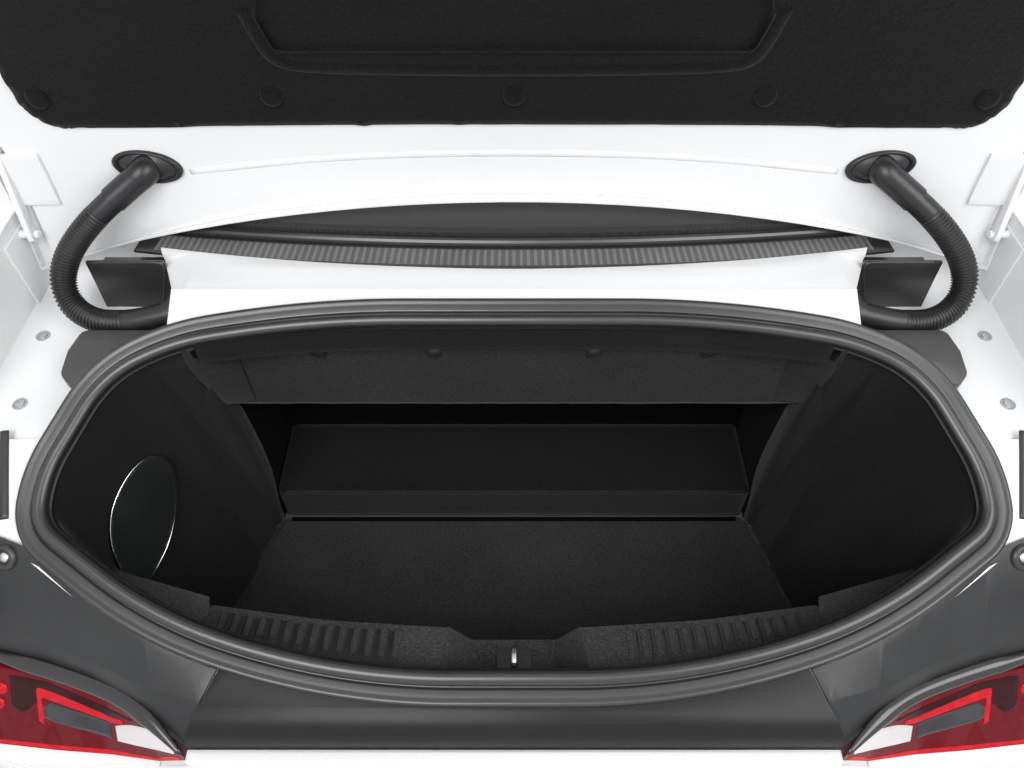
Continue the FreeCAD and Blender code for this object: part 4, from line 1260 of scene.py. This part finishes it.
    def make_groove_shade(self) -> None:
        """Dark strips of painted shade in the grooves between the sill's ribs, wider on the left as in the
        photograph.
        """
        sill = Surface("sill_trim")
        lowest = place(0.0, 0.0, self.groove_lowest).z
        strips = []
        for hand in Hand:
            side = Vector((self.groove_half_left if hand is Hand.LEFT else self.groove_half_right, 0.0, 0.0))
            for index in range(self.grooves_a_side):
                x = hand.value * (self.groove_first + self.groove_pitch * index)
                rows = []
                for step in range(30):
                    top = sill.hit(place(x, 24.0 + step * 4.0, 60.0), -UP)
                    if top and abs(top[1].x) < 0.2 and top[0].z > lowest and top[1].z > 0.35:
                        raised = top[0] + top[1] * self.groove_lift
                        rows.append([raised - side, raised + side])
                if len(rows) > 5:
                    strips.append(plate(f"groove_{hand.word}_{index}", rows[:-2], self.groove_thick, 0.0))
        made = joined("sill_groove_shade", strips)
        smooth_by_angle(made.data, 30.0)
        self.shop.settle(made, "groove", "black_plastic")


@dataclass
class Deck(SubAssembly):
    """Painted frame, pockets, tonneau and rear panels."""

    middle: tuple[HardPiece, ...] = (
        HardPiece("sill_trim", "sill_grain", "black_plastic", 0.0009),
        HardPiece("deck_frame", "inner_paint", "inner_paint", 0.0016),
        HardPiece("rear_cross_panel", "cross_panel", "satin_panel"),
        HardPiece("bumper_cover", "body_paint", "body_paint", 0.0016),
        HardPiece("hinge_covers", "cover_plastic", "black_plastic", 0.0030),
        HardPiece("corner_guards", "guard_rubber", "seal_rubber", 0.0030),
        HardPiece("bump_stops", "seal_rubber", "seal_rubber"),
    )
    paired: tuple[HardPiece, ...] = (
        HardPiece("hinge_pocket", "inner_paint", "inner_paint", 0.0025),
        HardPiece("corner_panel", "satin_panel", "satin_panel"),
        HardPiece("quarter_panel", "body_paint", "body_paint", 0.0016),
        HardPiece("tail_lamp_housing", "lamp_body", "lamp_body", 0.0015),
        HardPiece("hinge_bracket", "inner_paint", "inner_paint"),
        HardPiece("tail_lamp_lens", "lamp_red", "lamp_red", 0.0015),
    )
    rib_arc: float = 2.214
    rib_pitch: float = 0.0105
    ribs_a_side: int = 52
    rib_half: float = 2.2
    rib_depths: tuple[float, ...] = (4.0, 11.0, 18.0, 25.0, 31.0)
    rib_lift: float = 0.0007
    rib_thick: float = 0.0010
    ground_sunk: float = 0.0003
    ground_thick: float = 0.0008
    flange_tilt: float = 21.0
    flange_edge: Pair = (537.0, 220.0)
    boss_at: Point = (646.0, 162.0, 70.0)
    boss_axis: Point = (0.14, -0.66, 0.74)
    boss_ring: tuple[Pair, ...] = (
        (8.5, 1.0), (9.5, 4.2), (12.0, 5.4), (15.0, 4.8), (17.0, 2.0), (17.4, -2.0),
    )
    boss_bolt: tuple[Pair, ...] = ((0.0, 4.6), (3.0, 4.5), (5.6, 3.8), (7.0, 2.4), (7.6, 0.0), (7.6, -1.5))
    pocket_bolts_at: tuple[Point, ...] = ((696.0, 491.0, 130.0), (678.6, 362.5, 130.0))
    pocket_bolt: tuple[Pair, ...] = (
        (0.0, 4.0), (4.0, 3.9), (6.0, 3.2), (6.6, 1.2), (10.0, 1.0), (10.4, 0.0), (10.4, -1.0),
    )
    cover_rim: tuple[Point, ...] = (
        (612.0, 558.0, 215.0),
        (560.0, 558.0, 215.0),
        (516.0, 558.5, 214.5),
        (509.0, 557.0, 208.0),
        (518.0, 555.0, 180.0),
        (529.0, 552.8, 148.0),
    )
    cover_rim_radius: float = 0.0020
    strip_radius: float = 0.0060
    side_strip: tuple[Point, ...] = (
        (674.0, 310.0, 138.5),
        (670.0, 287.0, 128.6),
        (661.0, 240.0, 107.6),
        (654.0, 204.0, 91.6),
    )
    corner_rim: tuple[Point, ...] = (
        (404.0, -43.0, -41.0),
        (420.0, -29.0, -36.0),
        (452.0, -3.0, -30.0),
        (490.0, 20.0, -30.0),
        (534.0, 37.0, -31.0),
        (600.0, 57.0, -31.0),
        (652.0, 69.0, -28.0),
        (690.0, 80.0, -24.0),
    )
    corner_rim_half: float = 0.0110
    corner_rim_height: float = 0.0070

    def build(self) -> None:
        """Makes the deck's pieces."""
        sides = [replace(piece, node=f"{piece.node}_{hand.word}") for hand in Hand for piece in self.paired]
        for piece in (*self.middle, *sides):
            piece.build(self.shop)
        self.shop.dress("tonneau_seal", "seal_rubber")
        self.shop.dress("tonneau_panel", "textile")
        self.shop.dress("conduit_grommets", "hose_rubber")
        self.make_ribs()
        self.make_bosses()
        self.make_trims()
        for hand in Hand:
            self.make_rim(hand)
            TailLamp(self.shop, hand).build()

    def make_ribs(self) -> None:
        """Short ribs across the tonneau seal's flange, on a thin darker ground; the ribs' lighter colour is a
        painted highlight on their crests.
        """
        flange = Surface("tonneau_seal")
        strips = []
        ground = []
        tilt = math.radians(self.flange_tilt)
        forward = Vector((0.0, math.cos(tilt), -math.sin(tilt)))
        normal = Vector((0.0, math.sin(tilt), math.cos(tilt)))
        centre = place(0.0, *self.flange_edge) + forward * self.rib_arc
        for number in range(-self.ribs_a_side, self.ribs_a_side + 1):
            turn = Matrix.Rotation(number * self.rib_pitch / self.rib_arc, 3, normal)
            rows = []
            for depth in self.rib_depths:
                row = []
                for side in (-self.rib_half, self.rib_half):
                    start = place(side, *self.flange_edge) + forward * (depth * MM) + normal * 0.03
                    top = flange.hit(centre + turn @ (start - centre), -normal)
                    if top:
                        row.append(top[0] + top[1] * self.rib_lift)
                if len(row) == 2:
                    rows.append(row)
            if len(rows) == len(self.rib_depths):
                strips.append(plate(f"rib_{number}", rows, self.rib_thick, 0.0))
                ground.append([(first + second) / 2.0 - normal * self.ground_sunk for first, second in rows])
        base = plate("tonneau_flange", ground, self.ground_thick, 0.0)
        self.shop.settle(base, "tonneau_flange", "seal_rubber")
        made = joined("tonneau_ribs", strips)
        smooth_by_angle(made.data, 30.0)
        self.shop.settle(made, "tonneau_rib_highlight", "seal_rubber")

    def make_bosses(self) -> None:
        """Round rubber bosses with a bolt, at the corner panels' front ends."""
        spots = []
        for hand in Hand:
            (x, *spot), (across, *axis) = self.boss_at, self.boss_axis
            spots.append((place(hand.value * x, *spot), Vector((hand.value * across, *axis))))
        made = turned("boss_rings", spots, in_metres(self.boss_ring))
        self.shop.settle(made, "boss_plastic", "black_plastic")
        bolts = turned("boss_bolts", spots, in_metres(self.boss_bolt))
        self.shop.settle(bolts, "steel", "steel")

    def make_trims(self) -> None:
        """Rims of the hinge covers, rubber strips beside the mouth and bolts in the pockets."""
        for hand in Hand:
            path = steered(self.cover_rim, 0.005, hand)
            made = sweep(f"cover_rim_{hand.word}", path,
                         lambda share: round_section(self.cover_rim_radius, 10), Vector((0.0, -0.9, 0.4)))
            self.shop.settle(made, "cover_plastic", "black_plastic")
            path = steered(self.side_strip, 0.006, hand)
            made = sweep(f"side_strip_{hand.word}", path,
                         lambda share: round_section(self.strip_radius, 14, 0.4), Vector((0.0, -0.41, 0.91)))
            self.shop.settle(made, "boss_plastic", "black_plastic")
        spots = [(place(hand.value * x, y, z), UP) for hand in Hand for x, y, z in self.pocket_bolts_at]
        bolts = turned("pocket_bolts", spots, in_metres(self.pocket_bolt))
        self.shop.settle(bolts, "steel", "steel")

    def make_rim(self, hand: Hand) -> None:
        """Glossy raised rim along a corner panel's lamp side.

        Args:
            hand: The car's side.
        """
        path = steered(self.corner_rim, 0.008, hand)
        turns = [math.radians(turn) for turn in range(0, 360, 20)]

        def section(share: float) -> list[Pair]:
            """The rim's ring at a share of its length, smaller towards both ends."""
            size = min(1.0, 0.25 + 3.5 * share, 0.3 + 3.0 * (1.0 - share))
            across, height = self.corner_rim_half * size, self.corner_rim_height * size
            return [(across * math.cos(turn), height * math.sin(turn)) for turn in turns]

        made = sweep(f"corner_rim_{hand.word}", path, section, Vector((0.0, -0.55, 0.83)))
        self.shop.settle(made, "gloss_rim", "satin_panel")


@dataclass
class TailLamp(SubAssembly):
    """A tail lamp's lens with the shapes that show in it.

    A shape's stops are x in millimetres with its upper and lower share of the face, from the tip outwards.
    """

    hand: Hand
    rows: tuple[tuple[float, float, float, float, float], ...] = (
        (402.0, -44.0, -48.0, -46.0, -56.0),
        (447.0, -14.0, -45.0, -38.0, -90.0),
        (520.0, 25.0, -44.0, -24.0, -113.0),
        (600.0, 50.0, -44.0, -16.0, -122.0),
        (690.0, 68.0, -44.0, -6.0, -126.0),
        (780.0, 112.0, -44.0, 24.0, -124.0),
        (850.0, 196.0, -45.0, 100.0, -118.0),
        (884.0, 250.0, -47.0, 190.0, -104.0),
    )
    window: tuple[Point, ...] = (
        (516.0, 0.42, 0.70), (540.0, 0.38, 0.66), (600.0, 0.34, 0.60), (612.0, 0.42, 0.56),
    )
    hollow: tuple[Point, ...] = (
        (480.0, 0.10, 0.14), (516.0, 0.16, 0.30), (600.0, 0.06, 0.17), (640.0, 0.06, 0.55),
        (656.0, 0.08, 0.50),
    )
    # Painted reflection of the backdrop on the lens near its tip.
    mirror: tuple[Point, ...] = (
        (418.0, 0.16, 0.52), (432.0, 0.08, 0.60), (456.0, 0.08, 0.66), (482.0, 0.24, 0.70),
        (508.0, 0.43, 0.72),
    )
    bar: tuple[Point, ...] = (
        (494.0, 0.24, 0.32), (516.0, 0.30, 0.40), (560.0, 0.22, 0.34), (612.0, 0.16, 0.29),
        (618.0, 0.17, 0.27),
    )
    hook: tuple[Point, ...] = ((612.0, 0.18, 0.66), (619.0, 0.20, 0.62))
    edge: tuple[Point, ...] = (
        (410.0, 0.62, 0.97), (447.0, 0.90, 0.985), (690.0, 0.94, 0.985), (780.0, 0.94, 0.985),
        (870.0, 0.94, 0.985),
    )
    pods: tuple[Pair, ...] = ((668.0, 0.26), (690.0, 0.24), (674.0, 0.46), (712.0, 0.30))
    pod_profile: tuple[Pair, ...] = (
        (0.0, 1.6), (2.5, 1.4), (3.4, 0.6), (5.0, 2.4), (6.6, 2.6), (8.0, 1.6), (8.6, -0.4),
    )

    def face(self, x: float, share: float, lift: float) -> Vector:
        """A point over the lens's face.

        Args:
            x: Place across the car in millimetres, on the right side.
            share: 0 at the top edge, 1 at the lower edge.
            lift: Height over the face in millimetres.

        Returns:
            The point in the row frame, on this lamp's side.
        """
        index = max(number for number, row in enumerate(self.rows[:-1]) if row[0] <= x)
        first, second = self.rows[index], self.rows[index + 1]
        part = (x - first[0]) / (second[0] - first[0])
        _, y_top, z_top, y_low, z_low = [low + (high - low) * part for low, high in zip(first, second)]
        y, z = y_top + (y_low - y_top) * share, z_top + (z_low - z_top) * share
        down = Vector((0.0, y_low - y_top, z_low - z_top)).normalized()
        along = Vector((second[0] - first[0], second[1] - first[1], 0.0)).normalized()
        out = down.cross(along).normalized()
        if out.y > 0.0:
            out = -out
        return place(self.hand.value * (x + out.x * lift), y + out.y * lift, z + out.z * lift)

    def inlay(self, name: str, stops: Sequence[Point], lift: float = 0.5,
              step: float = 9.0) -> bpy.types.Object:
        """A thin piece on the lens's face.

        Args:
            name: The piece's name.
            stops: The shape's stops.
            lift: Height over the face in millimetres.
            step: Distance between the grid's lines in millimetres.

        Returns:
            The piece.
        """
        rows = []
        for (x_low, top_low, low_low), (x_high, top_high, low_high) in zip(stops, stops[1:]):
            count = max(1, round((x_high - x_low) / step))
            for number in range(count + (x_high == stops[-1][0])):
                part = number / count
                top = top_low + (top_high - top_low) * part
                low = low_low + (low_high - low_low) * part
                x = x_low + (x_high - x_low) * part
                rows.append([self.face(x, top + (low - top) * across / 5.0, lift) for across in range(6)])
        return plate(f"{name}_{self.hand.word}", rows, 0.0006 + lift * MM, 0.0003)

    def build(self) -> None:
        """Makes the shapes in the lens."""
        for name, stops, finish, lift in (("lamp_window", self.window, "lamp_glass", 0.5),
                                          ("lamp_hollow", self.hollow, "lamp_dark", 0.5),
                                          ("lamp_painted_reflection", self.mirror, "painted_reflection", 0.3)):
            self.shop.settle(self.inlay(name, stops, lift), finish, "lamp_red")
        bars = [self.inlay("lamp_bar", self.bar, 0.7), self.inlay("lamp_hook", self.hook, 0.7),
                self.inlay("lamp_edge", self.edge)]
        bright = joined(f"lamp_lights_{self.hand.word}", bars)
        smooth_by_angle(bright.data, 40.0)
        self.shop.settle(bright, "lamp_bright", "lamp_red")
        spots = []
        for x, share in self.pods:
            foot = self.face(x, share, 0.0)
            spots.append((foot, (self.face(x, share, 5.0) - foot).normalized()))
        made = turned(f"lamp_pods_{self.hand.word}", spots, in_metres(self.pod_profile))
        self.shop.settle(made, "lamp_bright", "lamp_red")


@dataclass
class Lid(SubAssembly):
    """The lid's skins, lining, latch and arms."""

    hard: tuple[HardPiece, ...] = (
        HardPiece("lid_outer", "body_paint", "body_paint", 0.0014, 3, LID),
        HardPiece("lid_inner", "inner_paint", "inner_paint", 0.0010, 2, LID),
        HardPiece("lid_latch", "black_plastic", "black_plastic", 0.0020, 3, LID),
        HardPiece("hinge_arm_left", "inner_paint", "inner_paint", 0.0010, 2, LID),
        HardPiece("hinge_arm_right", "inner_paint", "inner_paint", 0.0010, 2, LID),
    )
    lining: SoftPiece = SoftPiece("lid_liner", "lid_felt", "felt", 0.012, 2, 0.0003, LID)
    ridge_half: tuple[Point, ...] = (
        (318.5, 612.0, 556.5),
        (312.0, 619.5, 520.0),
        (302.0, 624.0, 488.0),
        (276.0, 626.4, 475.5),
        (143.5, 628.4, 471.0),
        (0.0, 629.2, 469.5),
    )
    ridge_ring: tuple[Pair, ...] = (
        (-10.0, -1.0), (-6.0, 2.0), (0.0, 3.8), (6.0, 2.0), (10.0, -1.0), (0.0, -3.0),
    )
    line_half: tuple[Point, ...] = (
        (458.5, 634.6, 315.5),
        (343.0, 638.0, 328.0),
        (229.5, 640.0, 336.4),
        (117.3, 641.1, 340.5),
        (0.0, 641.5, 341.9),
    )
    line_ring: tuple[Pair, ...] = (
        (-7.0, -0.6), (-3.0, 0.8), (0.0, 1.3), (3.0, 0.8), (7.0, -0.6), (0.0, -2.0),
    )
    pin_axis: Vector = field(default_factory=lambda: Vector((0.0, -0.985, 0.174)))
    pin_sunk: float = 0.0015
    pin_profile: tuple[Pair, ...] = (
        (0.0, 2.6), (6.0, 2.5), (11.0, 2.2), (13.6, 1.4), (14.8, 0.2), (14.8, -2.0),
    )
    grommet_at: Point = (514.0, 560.0, 326.0)
    flange_steps: tuple[Pair, ...] = (
        (1.00, -1.0), (1.00, 3.0), (0.96, 5.0), (0.90, 5.6), (0.84, 5.0), (0.80, 3.6), (0.76, 4.4),
        (0.66, 7.0), (0.50, 9.5), (0.30, 10.5),
    )
    flange_long: float = 0.048
    flange_high: float = 0.0255
    flange_tilt: float = 8.0
    neck_radius: float = 0.0192
    neck_flare: float = 0.0018

    def build(self) -> None:
        """Makes the lid's pieces."""
        for piece in self.hard:
            piece.build(self.shop)
        self.lining.build(self.shop)
        self.make_pins()
        self.make_grommets()
        self.make_lines()

    def make_lines(self) -> None:
        """Soft ridge round the lining's recess and the pressed line across the inner panel."""
        ridge_ring, line_ring = in_metres(self.ridge_ring), in_metres(self.line_ring)
        path = steered(whole(self.ridge_half), 0.008)
        ridge = sweep("lining_ridge", path, lambda share: ridge_ring, Vector((0.0, -0.99, -0.13)))
        self.shop.settle(ridge, "lid_felt", "felt", LID)
        path = steered(whole(self.line_half), 0.010)
        line = sweep("pressed_line", path, lambda share: line_ring, Vector((0.0, -1.0, 0.0)))
        self.shop.settle(line, "inner_paint", "inner_paint", LID)

    def make_pins(self) -> None:
        """Flat push pins that hold the lining."""
        sunk = self.pin_axis * self.pin_sunk
        spots = [(middle - sunk, self.pin_axis) for middle in middles("lid_liner_pins")]
        made = turned("lining_pins", spots, in_metres(self.pin_profile))
        self.shop.settle(made, "lid_felt", "black_plastic", LID, ["lid_liner_pins"])

    def make_grommets(self) -> None:
        """Oval grommets with a bent neck for the hoses."""
        panel = Surface("lid_inner")
        pieces = []
        for hand in Hand:
            x, y, z = self.grommet_at
            spot, normal = panel.hit(place(hand.value * x, y, z), Vector((0, 1, 0)))
            pieces.append(self.flange(hand, spot, normal))
            pieces.append(self.neck(hand, spot, normal))
        made = joined("oval_grommets", pieces)
        smooth_by_angle(made.data, 50.0)
        self.shop.settle(made, "hose_rubber", "seal_rubber", LID, ["lid_grommets"])

    def flange(self, hand: Hand, spot: Vector, normal: Vector) -> bpy.types.Object:
        """A grommet's oval flange.

        Args:
            hand: The car's side.
            spot: The flange's middle on the inner panel.
            normal: The panel's normal there.

        Returns:
            The piece.
        """
        across = Vector((1.0, 0.0, 0.0))
        upward = normal.cross(across).normalized()
        if upward.z < 0.0:
            upward = -upward
        tilt = Matrix.Rotation(hand.value * math.radians(self.flange_tilt), 3, normal)
        shape = bmesh.new()
        rings = []
        for size, height in self.flange_steps:
            points = []
            for step in range(40):
                turn = math.radians(step * 9.0)
                flat = across * (self.flange_long * size * math.cos(turn))
                flat += upward * (self.flange_high * size * math.sin(turn))
                points.append(spot + tilt @ flat + normal * (height * MM))
            rings.append(ring_edges(shape, points))
        return bridged(f"flange_{hand.word}", shape, rings)

    def neck(self, hand: Hand, spot: Vector, normal: Vector) -> bpy.types.Object:
        """The bent neck that joins a hose's end to its flange.

        Args:
            hand: The car's side.
            spot: The flange's middle on the inner panel.
            normal: The panel's normal there.

        Returns:
            The piece.
        """
        before, end = [place(hand.value * x, y, z) for x, y, z in Conduit.route[-2:]]
        onward = (end - before).normalized()
        route = [end - onward * 0.022, end, end + onward * 0.016,
                 spot + normal * 0.012, spot - normal * 0.001]

        def section(share: float) -> list[Pair]:
            """The neck's ring at a share of its length, wider towards the flange."""
            return round_section(self.neck_radius + self.neck_flare * max(0.0, share - 0.6) / 0.4, 26)

        return sweep(f"neck_{hand.word}", even_points(route_points(route), 0.003), section, UP)


def main() -> None:
    """Builds the scene, sub-assembly by sub-assembly."""
    logging.basicConfig(level=logging.INFO, format="%(name)s %(message)s")
    shop = Workshop()
    Studio().build()
    hoses = [Conduit(shop, hand) for hand in Hand]
    for group in (*hoses, MouthSeal(shop), LoadSpace(shop), Deck(shop), Lid(shop)):
        group.build()


if __name__ == "__main__":
    main()
